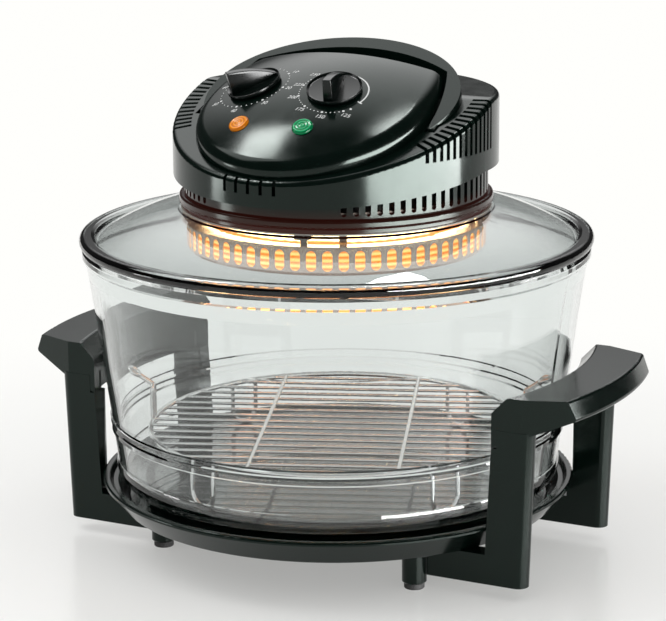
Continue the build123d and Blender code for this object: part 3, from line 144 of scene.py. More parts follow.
# Name, dark, light, least and most roughness, scale, relief, Metallic, nodes.
METALWORK = (
    ("Bright steel", (0.62, 0.61, 0.59), (0.74, 0.73, 0.71), 0.14, 0.26, 180.0, 0.03, 0.8,
     ("lamp_guard",)),
    ("Plated wire", (0.66, 0.66, 0.66), (0.78, 0.78, 0.78), 0.10, 0.18, 250.0, 0.02, 1.0,
     ("wire_rack", "rack_ears")),
    ("Plain steel", (0.42, 0.42, 0.42), (0.56, 0.56, 0.55), 0.26, 0.42, 160.0, 0.06, 1.0,
     STEEL_NODES),
    ("Sooted steel", (0.045, 0.038, 0.034), (0.085, 0.07, 0.06), 0.45, 0.6, 140.0, 0.08, 1.0,
     ("heat_shield",)),
    ("Reflector sheet", (0.70, 0.70, 0.70), (0.80, 0.80, 0.80), 0.12, 0.24, 90.0, 0.03, 1.0,
     ("reflector", "convection_fan")),
    ("Grey moulding", (0.20, 0.20, 0.20), (0.27, 0.27, 0.27), 0.45, 0.6, 200.0, 0.1, 0.0,
     GREY_NODES),
    ("Enamelled copper", (0.32, 0.10, 0.03), (0.46, 0.17, 0.06), 0.3, 0.45, 400.0, 0.2, 0.6,
     ("motor_coil",)),
    ("Ceramic", (0.66, 0.63, 0.56), (0.78, 0.75, 0.69), 0.5, 0.65, 300.0, 0.15, 0.0,
     ("lamp_caps", "indicator_lamps")),
)
# Painted lamp light: a faint orange glow given to the bright steel of the guard round the tube.
GUARD_PAINTED_GLOW = (1.0, 0.58, 0.38)
GUARD_PAINTED_GLOW_STRENGTH = 0.22
TUBE_WHITE = (1.0, 0.74, 0.38)
TUBE_RIM_SHARE = 0.055
# Painted reflection of the tube on the ring: colour of the crests, and the valleys' share of the
# lamp colour.
RING_CREST = (1.0, 0.62, 0.22)
RING_VALLEY_SHARE = 0.62
# Painted light: colour of the red glow of the tube's light painted on the collar's foot.
COLLAR_PAINTED_GLOW = (1.0, 0.10, 0.06)

# Node, place on the crown, dark, light, and strength of its own light.
LENSES = (
    ("amber_lens", AMBER_AT, (0.46, 0.10, 0.001), (0.78, 0.27, 0.003), 0.12),
    ("green_lens", GREEN_AT, (0.002, 0.11, 0.035), (0.008, 0.36, 0.13), 0.10),
)
LENS_RINGS = 150.0
LENS_RELIEF = 0.5 * MM

# Name, place on the crown, turns of the main dots, their numbers, and turns of further dots.
SCALES = (
    ("timer_scale", TIMER_AT, (92, 38, -9, -50, -95, -145, -193),
     ("", "10", "20", "30", "40", "50", "60"), ()),
    ("thermostat_scale", THERMO_AT, (-52, -86, -121, -154, -185, -216),
     ("125", "150", "175", "200", "225", "250"), (-40.0,)),
)
DOTS_BETWEEN = 5


def deselect_all():
    for obj in list(bpy.context.selected_objects):
        obj.select_set(False)
    bpy.context.view_layer.objects.active = None


def pick(obj):
    deselect_all()
    obj.select_set(True)
    bpy.context.view_layer.objects.active = obj


def crown_frame(x, y):
    """Frame lying on the crown at a point of the tilted plan (mm), facing outwards."""
    rise = math.sqrt((CROWN_R / MM) ** 2 - x**2 - (y - CROWN_CENTRE.y / MM) ** 2) * MM
    tilt = Matrix.Translation(TILT_ORIGIN) @ Matrix.Rotation(TILT, 4, "X")
    spot = Vector((x * MM, y * MM, CROWN_CENTRE.z + rise))
    normal = (tilt.to_3x3() @ (spot - CROWN_CENTRE)).normalized()
    right = Vector((1, 0, 0))
    up = normal.cross(right).normalized()
    right = up.cross(normal).normalized()
    turned = Matrix((right, up, normal)).transposed().to_4x4()
    return Matrix.Translation(tilt @ spot) @ turned


def drop_on_crown(obj, lift):
    """Moves a flat mesh, drawn on the tilted plan in metres, onto the crown point by point."""
    tilt = Matrix.Translation(TILT_ORIGIN) @ Matrix.Rotation(TILT, 4, "X")
    for vert in obj.data.vertices:
        x, y, z = vert.co
        flat = Vector((x, y - CROWN_CENTRE.y, 0))
        rise = math.sqrt(CROWN_R**2 - flat.length_squared)
        spot = Vector((x, y, CROWN_CENTRE.z + rise))
        out = (spot - CROWN_CENTRE).normalized()
        vert.co = tilt @ (spot + out * (lift + z))
    obj.data.update()


def join(parts, name):
    deselect_all()
    for part in parts:
        part.select_set(True)
    bpy.context.view_layer.objects.active = parts[0]
    bpy.ops.object.join()
    joined = bpy.context.view_layer.objects.active
    joined.name = joined.data.name = name
    return joined


def settle(obj):
    """Puts the piece's place in its mesh, with its object at the origin."""
    pick(obj)
    bpy.ops.object.transform_apply(location=True, rotation=True, scale=True)


def apply_modifiers(obj):
    pick(obj)
    for modifier in list(obj.modifiers):
        bpy.ops.object.modifier_apply(modifier=modifier.name)


def dress(obj, material):
    obj.data.materials.clear()
    obj.data.materials.append(material)


def hand_over(obj, body, slot, material, *replaced):
    dress(obj, material)
    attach(obj, body)
    if replaced:
        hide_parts(*replaced)


# ---------------------------------------------------------------- materials


def new_group(name, inputs, outputs):
    """Shader group with (name, type, default) inputs and (name, type) outputs."""
    tree = bpy.data.node_groups.new(name, "ShaderNodeTree")
    for label, kind, default in inputs:
        socket = tree.interface.new_socket(label, in_out="INPUT", socket_type=kind)
        socket.default_value = default
    for label, kind in outputs:
        tree.interface.new_socket(label, in_out="OUTPUT", socket_type=kind)
    return tree, tree.nodes.new("NodeGroupInput"), tree.nodes.new("NodeGroupOutput")


def moulded_skin():
    """Uneven gloss of a moulded surface: a drifting roughness and a faint ripple in its height."""
    if "Moulded skin" in bpy.data.node_groups:
        return bpy.data.node_groups["Moulded skin"]
    tree, given, out = new_group(
        "Moulded skin",
        (
            ("Low", "NodeSocketFloat", 0.1), ("High", "NodeSocketFloat", 0.25),
            ("Scale", "NodeSocketFloat", 60.0), ("Dark", "NodeSocketColor", (0, 0, 0, 1)),
            ("Light", "NodeSocketColor", (0.1, 0.1, 0.1, 1)),
        ),
        (
            ("Color", "NodeSocketColor"), ("Roughness", "NodeSocketFloat"),
            ("Height", "NodeSocketFloat"),
        ),
    )
    place = tree.nodes.new("ShaderNodeTexCoord")
    drift = tree.nodes.new("ShaderNodeTexNoise")
    drift.inputs["Detail"].default_value = 5.0
    drift.inputs["Roughness"].default_value = 0.6
    ripple = tree.nodes.new("ShaderNodeTexNoise")
    ripple.inputs["Scale"].default_value = 900.0
    ripple.inputs["Detail"].default_value = 2.0
    span = tree.nodes.new("ShaderNodeMapRange")
    blend = tree.nodes.new("ShaderNodeMix")
    blend.data_type = "RGBA"
    link = tree.links.new
    link(place.outputs["Object"], drift.inputs["Vector"])
    link(place.outputs["Object"], ripple.inputs["Vector"])
    link(given.outputs["Scale"], drift.inputs["Scale"])
    link(drift.outputs["Fac"], span.inputs["Value"])
    span.inputs["From Min"].default_value = 0.3
    span.inputs["From Max"].default_value = 0.7
    link(given.outputs["Low"], span.inputs["To Min"])
    link(given.outputs["High"], span.inputs["To Max"])
    link(drift.outputs["Fac"], blend.inputs["Factor"])
    link(given.outputs["Dark"], blend.inputs["A"])
    link(given.outputs["Light"], blend.inputs["B"])
    link(blend.outputs["Result"], out.inputs["Color"])
    link(span.outputs["Result"], out.inputs["Roughness"])
    link(ripple.outputs["Fac"], out.inputs["Height"])
    return tree


def skinned(name, dark, light, low, high, scale=60.0, bump=0.02, **sockets):
    """Material whose gloss and fine relief come from the moulded skin group, and its colour too,
    between a dark and a light, or plain where there is no light."""
    material = bpy.data.materials.new(name)
    material.use_nodes = True
    nodes, link = material.node_tree.nodes, material.node_tree.links.new
    shader = nodes["Principled BSDF"]
    skin = nodes.new("ShaderNodeGroup")
    skin.node_tree = moulded_skin()
    skin.inputs["Low"].default_value = low
    skin.inputs["High"].default_value = high
    skin.inputs["Scale"].default_value = scale
    if light is None:
        shader.inputs["Base Color"].default_value = (*dark, 1)
    else:
        skin.inputs["Dark"].default_value = (*dark, 1)
        skin.inputs["Light"].default_value = (*light, 1)
        link(skin.outputs["Color"], shader.inputs["Base Color"])
    relief = nodes.new("ShaderNodeBump")
    relief.inputs["Strength"].default_value = bump
    relief.inputs["Distance"].default_value = RELIEF_DEPTH
    link(skin.outputs["Roughness"], shader.inputs["Roughness"])
    link(skin.outputs["Height"], relief.inputs["Height"])
    link(relief.outputs["Normal"], shader.inputs["Normal"])
    for label, value in sockets.items():
        shader.inputs[label.replace("_", " ")].default_value = value
    return material


def gloss_black(name, look):
    return skinned(
        name, look.plastic_dark, look.plastic_light, 0.12, 0.19,
        Specular_IOR_Level=0.27, Specular_Tint=(0.86, 1.0, 0.93, 1),
    )


def between(tree, factor, low, high):
    """Colour that goes from low to high as the factor rises."""
    blend = tree.nodes.new("ShaderNodeMix")
    blend.data_type = "RGBA"
    blend.inputs["A"].default_value = (*low, 1)
    blend.inputs["B"].default_value = (*high, 1)
    tree.links.new(factor, blend.inputs["Factor"])
    return blend.outputs["Result"]


def maths(tree, operation, first, second=None):
    """One Math node on outputs, its second input an output or a plain number."""
    node = tree.nodes.new("ShaderNodeMath")
    node.operation = operation
    tree.links.new(first, node.inputs[0])
    if isinstance(second, float):
        node.inputs[1].default_value = second
    elif second is not None:
        tree.links.new(second, node.inputs[1])
    return node.outputs["Value"]


def glow(material, strength, colour=None):
    shader = material.node_tree.nodes["Principled BSDF"]
    shader.inputs["Emission Strength"].default_value = strength
    if colour is not None:
        shader.inputs["Emission Color"].default_value = (*colour, 1)


def band_glow(material, middle, half, edge, core, strength):
    """Emission that runs from one colour at a height to another half a band away."""
    tree = material.node_tree
    place = tree.nodes.new("ShaderNodeTexCoord")
    split = tree.nodes.new("ShaderNodeSeparateXYZ")
    share = tree.nodes.new("ShaderNodeMapRange")
    share.inputs["From Max"].default_value = half
    tree.links.new(place.outputs["Object"], split.inputs["Vector"])
    away = maths(tree, "ABSOLUTE", maths(tree, "SUBTRACT", split.outputs["Z"], middle))
    tree.links.new(away, share.inputs["Value"])
    colour = between(tree, share.outputs["Result"], core, edge)
    tree.links.new(colour, tree.nodes["Principled BSDF"].inputs["Emission Color"])
    glow(material, strength)


# ---------------------------------------------------------------- settings


class OvenFinishSettings(bpy.types.PropertyGroup):
    plastic_dark: bpy.props.FloatVectorProperty(
        name="Plastic", description="Colour of the gloss black mouldings", subtype="COLOR",
        size=3, min=0, max=1, default=(0.0012, 0.0042, 0.003),
    )
    plastic_light: bpy.props.FloatVectorProperty(
        name="Plastic, lighter", description="Lighter colour that the black drifts towards",
        subtype="COLOR", size=3, min=0, max=1, default=(0.002, 0.0062, 0.0045),
    )
    bowl_tint: bpy.props.FloatVectorProperty(
        name="Bowl glass", description="Tint of the bowl", subtype="COLOR",
        size=3, min=0, max=1, default=(0.86, 0.885, 0.88),
    )
    lid_tint: bpy.props.FloatVectorProperty(
        name="Lid glass", description="Tint of the lid", subtype="COLOR",
        size=3, min=0, max=1, default=(0.55, 0.58, 0.575),
    )
    lamp_colour: bpy.props.FloatVectorProperty(
        name="Lamp", description="Colour of the tube's rim and its mirror", subtype="COLOR",
        size=3, min=0, max=1, default=(1.0, 0.209, 0.018),
    )
    lamp_strength: bpy.props.FloatProperty(
        name="Lamp strength", description="Brightness of the lit halogen tube",
        min=0, max=100, default=30.0,
    )
    # Strength of the painted red glow of the tube's light on the collar's foot.
    painted_collar_glow: bpy.props.FloatProperty(
        name="Painted collar glow", description="Red glow of the tube on the foot of the collar",
        min=0, max=1, default=0.035,
    )
    # Brightness of the painted reflection of the tube on the ribbed ring.
    ring_strength: bpy.props.FloatProperty(
        name="Painted ring reflection", description="Brightness of the ring that mirrors the tube",
        min=0, max=20, default=2.4,
    )


class OvenScaleSettings(bpy.types.PropertyGroup):
    ring_radius: bpy.props.FloatProperty(
        name="Dot ring", description="Radius of the ring of dots round a dial",
        unit="LENGTH", default=0.0233,
    )
    number_radius: bpy.props.FloatProperty(
        name="Number ring", description="Radius of the ring of numbers round a dial",
        unit="LENGTH", default=0.0275,
    )
    number_height: bpy.props.FloatProperty(
        name="Number size", description="Type size of the numbers", unit="LENGTH", default=0.0043,
    )
    dot_radius: bpy.props.FloatProperty(
        name="Dot", description="Radius of a small dot", unit="LENGTH", default=0.00042,
    )


class OvenStageSettings(bpy.types.PropertyGroup):
    floor_colour: bpy.props.FloatVectorProperty(
        name="Floor", description="Colour of the floor", subtype="COLOR",
        size=3, min=0, max=1, default=(0.92, 0.92, 0.905),
    )
    key_level: bpy.props.FloatProperty(
        name="Key light", description="Brightness of the soft light above the left", default=2.8,
    )
    card_level: bpy.props.FloatProperty(
        name="Cards", description="Brightness of the cards that only gloss and metal mirror",
        default=22.0,
    )
    ambient: bpy.props.FloatProperty(
        name="Surroundings", description="Strength of the even light from all round", default=0.86,
    )


# ---------------------------------------------------------------- pieces


class OVEN_OT_mouldings(bpy.types.Operator):
    """Finishes the black mouldings, the dials and the rubber tips"""

    bl_idname = "oven.mouldings"
    bl_label = "Finish the mouldings"

    def execute(self, context):
        look = context.scene.oven_finish
        body = gloss_black("Gloss black", look)
        for node in BLACK_NODES:
            dress(NODES[node], body)
        dial = skinned(
            "Dial black", (0.0012, 0.003, 0.0025), (0.002, 0.005, 0.004), 0.14, 0.24,
            Specular_IOR_Level=0.3,
        )
        dress(NODES["cord_gland"], dial)
        # Painted light: the collar's foot glows red where the tube's light would fall on it.
        painted_glow_black = gloss_black("Gloss black, painted lamp glow", look)
        band_glow(painted_glow_black, COLLAR_FOOT, PAINTED_GLOW_REACH, (0, 0, 0), COLLAR_PAINTED_GLOW, look.painted_collar_glow)
        dress(NODES["lower_housing"], painted_glow_black)
        rubber = skinned(
            "Foot rubber", (0.018, 0.018, 0.018), (0.035, 0.034, 0.033), 0.62, 0.8, 220.0, 0.25,
        )
        dress(NODES["foot_tips"], rubber)
        silicone = skinned(
            "Silicone", (0.30, 0.28, 0.25), (0.40, 0.37, 0.33), 0.45, 0.6, 150.0, 0.1,
        )
        dress(NODES["lid_gasket"], silicone)
        return {"FINISHED"}


class OVEN_OT_glassware(bpy.types.Operator):
    """Finishes the glass bowl and the glass lid"""

    bl_idname = "oven.glassware"
    bl_label = "Finish the glassware"

    def execute(self, context):
        look = context.scene.oven_finish
        for node, tint in (("glass_bowl", look.bowl_tint), ("glass_lid", look.lid_tint)):
            glass = skinned(
                node.replace("_", " ").capitalize(), tint, None, 0.0, 0.012, 40.0, 0.004,
                Transmission_Weight=1.0, IOR=1.47,
            )
            dress(NODES[node], glass)
        return {"FINISHED"}


class OVEN_OT_metalwork(bpy.types.Operator):
    """Finishes the guard, with a painted orange glow of the lamp's light, the rack, the fans and
    the hidden steel
    """

    bl_idname = "oven.metalwork"
    bl_label = "Finish the metalwork"

    def execute(self, context):
        for name, dark, light, low, high, scale, bump, metallic, nodes in METALWORK:
            finish = skinned(name, dark, light, low, high, scale, bump, Metallic=metallic)
            for node in nodes:
                dress(NODES[node], finish)
        # Painted light: the guard's steel glows faintly orange as if lit by the tube.
        glow(bpy.data.materials["Bright steel"], GUARD_PAINTED_GLOW_STRENGTH, GUARD_PAINTED_GLOW)
        return {"FINISHED"}


class OVEN_OT_lamp(bpy.types.Operator):
    """Lights the halogen tube, and paints its reflection behind the guard as a glowing ribbed ring
    """

    bl_idname = "oven.lamp"
    bl_label = "Light the lamp"

    def execute(self, context):
        look = context.scene.oven_finish
        lamp = Vector(look.lamp_colour)
        tube = skinned("Lit tube", (1.0, 0.75, 0.5), (1.0, 0.85, 0.65), 0.1, 0.2, 120.0, 0.01)
        rim = lamp * TUBE_RIM_SHARE
        band_glow(tube, LAMP_Z, TUBE_CORE, rim, TUBE_WHITE, look.lamp_strength)
        dress(NODES["halogen_lamp"], tube)
        painted_reflection = skinned(
            "Painted reflection ring", (0.5, 0.3, 0.2), (0.7, 0.5, 0.35), 0.2, 0.4, 150.0, 0.05,
            Metallic=1.0,
        )
        # Painted light: the ring glows with a painted reflection of the tube.
        self.ribbed_glow(painted_reflection, lamp * RING_VALLEY_SHARE, look.ring_strength)
        hand_over(self.ribbed_ring(), "lid", "bright_steel", painted_reflection)
        return {"FINISHED"}

    def ribbed_glow(self, material, valley, strength):
        """Emission of the painted reflection of the tube: near white on the crest of each rib and
        deep orange between them.
        """
        tree = material.node_tree
        place = tree.nodes.new("ShaderNodeTexCoord")
        ribs = tree.nodes.new("ShaderNodeTexWave")
        ribs.bands_direction = "Z"
        # A wave of scale 1 repeats every 2 pi / 20, and its crests are moved onto the ribs.
        ribs.inputs["Scale"].default_value = 2 * math.pi * RIBS / (20 * (RIB_TOP - RIB_FOOT))
        ribs.inputs["Phase Offset"].default_value = -1.35
        tree.links.new(place.outputs["Object"], ribs.inputs["Vector"])
        colour = between(tree, ribs.outputs["Fac"], valley, RING_CREST)
        tree.links.new(colour, tree.nodes["Principled BSDF"].inputs["Emission Color"])
        glow(material, strength)

    def ribbed_ring(self):
        """Ribbed ring just inside the guard's slots, which carries the painted reflection of the
        tube.
        """
        deselect_all()
        bpy.ops.mesh.primitive_cylinder_add(
            vertices=128, radius=RIB_R, depth=RIB_TOP - RIB_FOOT, end_fill_type="NOTHING",
            location=(0, 0, (RIB_TOP + RIB_FOOT) / 2),
        )
        ring = bpy.context.object
        ring.name = ring.data.name = "painted_reflection_ring"
        settle(ring)
        bpy.ops.object.mode_set(mode="EDIT")
        for rib in range(1, 2 * RIBS):
            height = RIB_FOOT + (RIB_TOP - RIB_FOOT) * rib / (2 * RIBS)
            bpy.ops.mesh.select_all(action="SELECT")
            bpy.ops.mesh.bisect(plane_co=(0, 0, height), plane_no=(0, 0, 1))
        bpy.ops.object.mode_set(mode="OBJECT")
        pitch = (RIB_TOP - RIB_FOOT) / (2 * RIBS)
        for vert in ring.data.vertices:
            if round((vert.co.z - RIB_FOOT) / pitch) % 2:
                vert.co.x *= 1 - RIB_DEPTH / RIB_R
                vert.co.y *= 1 - RIB_DEPTH / RIB_R
        wall = ring.modifiers.new("Wall", "SOLIDIFY")
        wall.thickness = RIB_WALL
        apply_modifiers(ring)
        return ring


class OVEN_OT_lenses(bpy.types.Operator):
    """Finishes the two indicator lenses, ringed like moulded reflectors"""

    bl_idname = "oven.lenses"
    bl_label = "Finish the lenses"

    def execute(self, context):
        for node, at, dark, light, shine in LENSES:
            lens = skinned(
                node.replace("_", " ").capitalize(), dark, light, 0.05, 0.12, 300.0, 0.02,
                Specular_IOR_Level=0.25,
            )
            tree = lens.node_tree
            nodes, link = tree.nodes, tree.links.new
            place = nodes.new("ShaderNodeTexCoord")
            centre = nodes.new("ShaderNodeMapping")
            centre.vector_type = "TEXTURE"
            seat = crown_frame(*at)
            centre.inputs["Location"].default_value = seat.to_translation()
            centre.inputs["Rotation"].default_value = seat.to_euler()
            rings = nodes.new("ShaderNodeTexWave")
            rings.wave_type = "RINGS"
            rings.rings_direction = "Z"
            rings.inputs["Scale"].default_value = LENS_RINGS
            link(place.outputs["Object"], centre.inputs["Vector"])
            link(centre.outputs["Vector"], rings.inputs["Vector"])
            relief = nodes["Bump"]
            relief.inputs["Strength"].default_value = 0.35
            relief.inputs["Distance"].default_value = LENS_RELIEF
            link(rings.outputs["Fac"], relief.inputs["Height"])
            colour = between(tree, rings.outputs["Fac"], dark, light)
            link(colour, nodes["Principled BSDF"].inputs["Base Color"])
            glow(lens, shine, light)
            dress(NODES[node], lens)
        return {"FINISHED"}


def number_mark(text, x, y, height):
    """Flat printed number centred on a point of the tilted plan, in metres."""
    deselect_all()
    bpy.ops.object.text_add(location=(x, y, 0))
    mark = bpy.context.object
    mark.data.body = text
    mark.data.size = height
    mark.data.align_x = "CENTER"
    mark.data.align_y = "CENTER"
    mark.data.shear = 0.25
    mark.data.extrude = INK / 2
    bpy.ops.object.convert(target="MESH")
    settle(mark)
    return mark


def dot_mark(x, y, radius):
    deselect_all()
    bpy.ops.mesh.primitive_cylinder_add(
        vertices=16, radius=radius, depth=INK, location=(x, y, 0)
    )
    dot = bpy.context.object
    round_over = dot.modifiers.new("Soft edge", "BEVEL")
    round_over.width = INK / 3
    round_over.segments = 1
    apply_modifiers(dot)
    settle(dot)
    return dot


def arc_mark(centre, radius, width, start, end, steps=40):
    """Printed arc round a dial: one short edge, spun about the dial and given its thickness. Spin
    turns clockwise here, so its angle runs from the end back to the start."""
    deselect_all()
    bpy.ops.mesh.primitive_plane_add(size=width, location=(0, 0, 0))
    strip = bpy.context.object
    bpy.ops.object.mode_set(mode="EDIT")
    bpy.ops.mesh.select_mode(type="EDGE")
    bpy.ops.mesh.select_all(action="DESELECT")
    bpy.ops.object.mode_set(mode="OBJECT")
    ends = strip.data.vertices
    for edge in strip.data.edges:
        edge.select = all(ends[index].co.y < 0 for index in edge.vertices)
    bpy.ops.object.mode_set(mode="EDIT")
    bpy.ops.mesh.select_all(action="INVERT")
    bpy.ops.mesh.delete(type="EDGE")
    bpy.ops.mesh.select_all(action="SELECT")
    bpy.ops.transform.translate(value=(radius, width / 2, 0))
    bpy.ops.object.mode_set(mode="OBJECT")
    strip.rotation_euler = (0, 0, math.radians(start))
    settle(strip)
    bpy.ops.object.mode_set(mode="EDIT")
    bpy.ops.mesh.select_all(action="SELECT")
    bpy.ops.mesh.spin(
        steps=steps, angle=math.radians(start - end), center=(0, 0, 0), axis=(0, 0, 1)
    )
    bpy.ops.mesh.select_all(action="SELECT")
    bpy.ops.mesh.remove_doubles(threshold=0.000001)
    bpy.ops.mesh.normals_make_consistent(inside=False)
    bpy.ops.object.mode_set(mode="OBJECT")
    body = strip.modifiers.new("Ink", "SOLIDIFY")
    body.thickness = INK
    body.offset = 0.0
    apply_modifiers(strip)
    strip.location = (*centre, 0)
    settle(strip)
    return strip


class OVEN_OT_scales(bpy.types.Operator):
    """Prints the dots and the numbers round both dials"""

    bl_idname = "oven.scales"
    bl_label = "Print the dial scales"

    def execute(self, context):
        sizes = context.scene.oven_scales
        ink = skinned(
            "Printed white", (0.70, 0.71, 0.70), (0.82, 0.83, 0.82), 0.35, 0.5, 400.0, 0.05,
        )
        for name, (cx, cy), turns, numbers, extra in SCALES:
            cx, cy = cx * MM, cy * MM
            marks = []
            for turn, text in zip(turns, numbers):
                if text:
                    angle = math.radians(turn)
                    marks.append(number_mark(
                        text, cx + sizes.number_radius * math.cos(angle),
                        cy + sizes.number_radius * math.sin(angle), sizes.number_height,
                    ))
            dots = [(turn, 2.0) for turn in (*turns, *extra)]
            for before, after in zip(turns, turns[1:]):
                step = (after - before) / DOTS_BETWEEN
                dots += [(before + step * k, 1.0) for k in range(1, DOTS_BETWEEN)]
            for turn, growth in dots:
                angle = math.radians(turn)
                marks.append(dot_mark(
                    cx + sizes.ring_radius * math.cos(angle),
                    cy + sizes.ring_radius * math.sin(angle), sizes.dot_radius * growth,
                ))
            if extra:
                marks.append(arc_mark((cx, cy), ARC_R, ARC_W, ARC_START, ARC_END))
                marks.append(arc_mark((cx, cy), ARC_R, STOP_W, ARC_END, STOP_END, 4))
            scale = join(marks, name)
            drop_on_crown(scale, INK_LIFT)
            settle(scale)
            hand_over(scale, "lid", "control_black", ink)
        return {"FINISHED"}


def turned_dish(name):
    """Dial body: a flat dished disc with a raised rim and a spindle below, on the origin."""
    deselect_all()
    bpy.ops.mesh.primitive_cylinder_add(
        vertices=96, radius=KNOB_R, depth=KNOB_H, location=(0, 0, KNOB_GAP + KNOB_H / 2)
    )
    dish = bpy.context.object
    dish.name = name
    settle(dish)
    bpy.ops.object.mode_set(mode="EDIT")
    for normal_z, inset, shift in ((1, KNOB_RIM, -KNOB_DISH), (-1, KNOB_R - SPINDLE_R, -SPINDLE_L)):
        bpy.ops.mesh.select_mode(type="FACE")
        bpy.ops.mesh.select_all(action="DESELECT")
        bpy.ops.object.mode_set(mode="OBJECT")
        cap = max(dish.data.polygons, key=lambda face: face.normal.z * normal_z * face.area)
        cap.select = True
        bpy.ops.object.mode_set(mode="EDIT")
        bpy.ops.mesh.inset(thickness=inset)
        if normal_z > 0:
            bpy.ops.transform.translate(value=(0, 0, shift))
        else:
            bpy.ops.mesh.extrude_region_move(TRANSFORM_OT_translate={"value": (0, 0, shift)})
    bpy.ops.object.mode_set(mode="OBJECT")
    soft = dish.modifiers.new("Soft edges", "BEVEL")
    soft.width = DISH_SOFT
    soft.segments = 3
    soft.limit_method = "ANGLE"
    apply_modifiers(dish)
    return dish


def fin_grip(turn):
    """Grip: tall and upright at one end, falling in a shallow arc to the rim at the other."""
    floor = KNOB_GAP + KNOB_H - KNOB_DISH - FIN_SINK
    end = KNOB_R - KNOB_RIM - FIN_INSET
    high = Vector((end, 0, GRIP_TOP))
    low = Vector((-end, 0, KNOB_GAP + KNOB_H - FIN_LOW))
    chord = high - low
    arc_r = chord.length**2 / (8 * FIN_BULGE) + FIN_BULGE / 2
    out = Vector((-chord.z, 0, chord.x)).normalized()
    centre = (high + low) / 2 + out * (FIN_BULGE - arc_r)
    deselect_all()
    bpy.ops.mesh.primitive_cylinder_add(
        vertices=512, radius=arc_r, depth=GRIP_W, location=centre, rotation=(math.pi / 2, 0, 0)
    )
    fin = bpy.context.object
    settle(fin)
    bpy.ops.object.mode_set(mode="EDIT")
    for spot, normal in (
        ((end, 0, floor), (1, 0, FIN_LEAN)),
        ((0, 0, floor), (0, 0, -1)),
        ((-end, 0, floor), (-1, 0, 0)),
    ):
        bpy.ops.mesh.select_all(action="SELECT")
        bpy.ops.mesh.bisect(plane_co=spot, plane_no=normal, use_fill=True, clear_outer=True)
    bpy.ops.object.mode_set(mode="OBJECT")
    for vert in fin.data.vertices:
        vert.co.y *= 1 - FIN_DRAFT * (vert.co.z - floor) / (GRIP_TOP - floor)
    soft = fin.modifiers.new("Soft edges", "BEVEL")
    soft.width = FIN_SOFT
    soft.segments = 3
    soft.limit_method = "ANGLE"
    soft.angle_limit = math.radians(40)
    apply_modifiers(fin)
    fin.rotation_euler = (0, 0, math.radians(turn))
    settle(fin)
    return fin


class OVEN_OT_dials(bpy.types.Operator):
    """Models the two dials with their fin grips"""

    bl_idname = "oven.dials"
    bl_label = "Model the dials"

    def execute(self, context):
        black = bpy.data.materials["Dial black"]
        for node, body, at, turn in (
            ("timer_knob", "timer_dial", TIMER_AT, TIMER_FIN),
            ("thermostat_knob", "thermostat_dial", THERMO_AT, THERMO_FIN),
        ):
            dial = turned_dish(node + "_dial")
            fin = fin_grip(turn)
            weld = dial.modifiers.new("Grip", "BOOLEAN")
            weld.operation = "UNION"
            weld.solver = "EXACT"
            weld.object = fin
            apply_modifiers(dial)
            bpy.data.objects.remove(fin)
            dial.data.transform(crown_frame(*at))
            pick(dial)
            bpy.ops.object.shade_smooth_by_angle(angle=math.radians(35))
            hand_over(dial, body, "control_black", black, node)
        return {"FINISHED"}


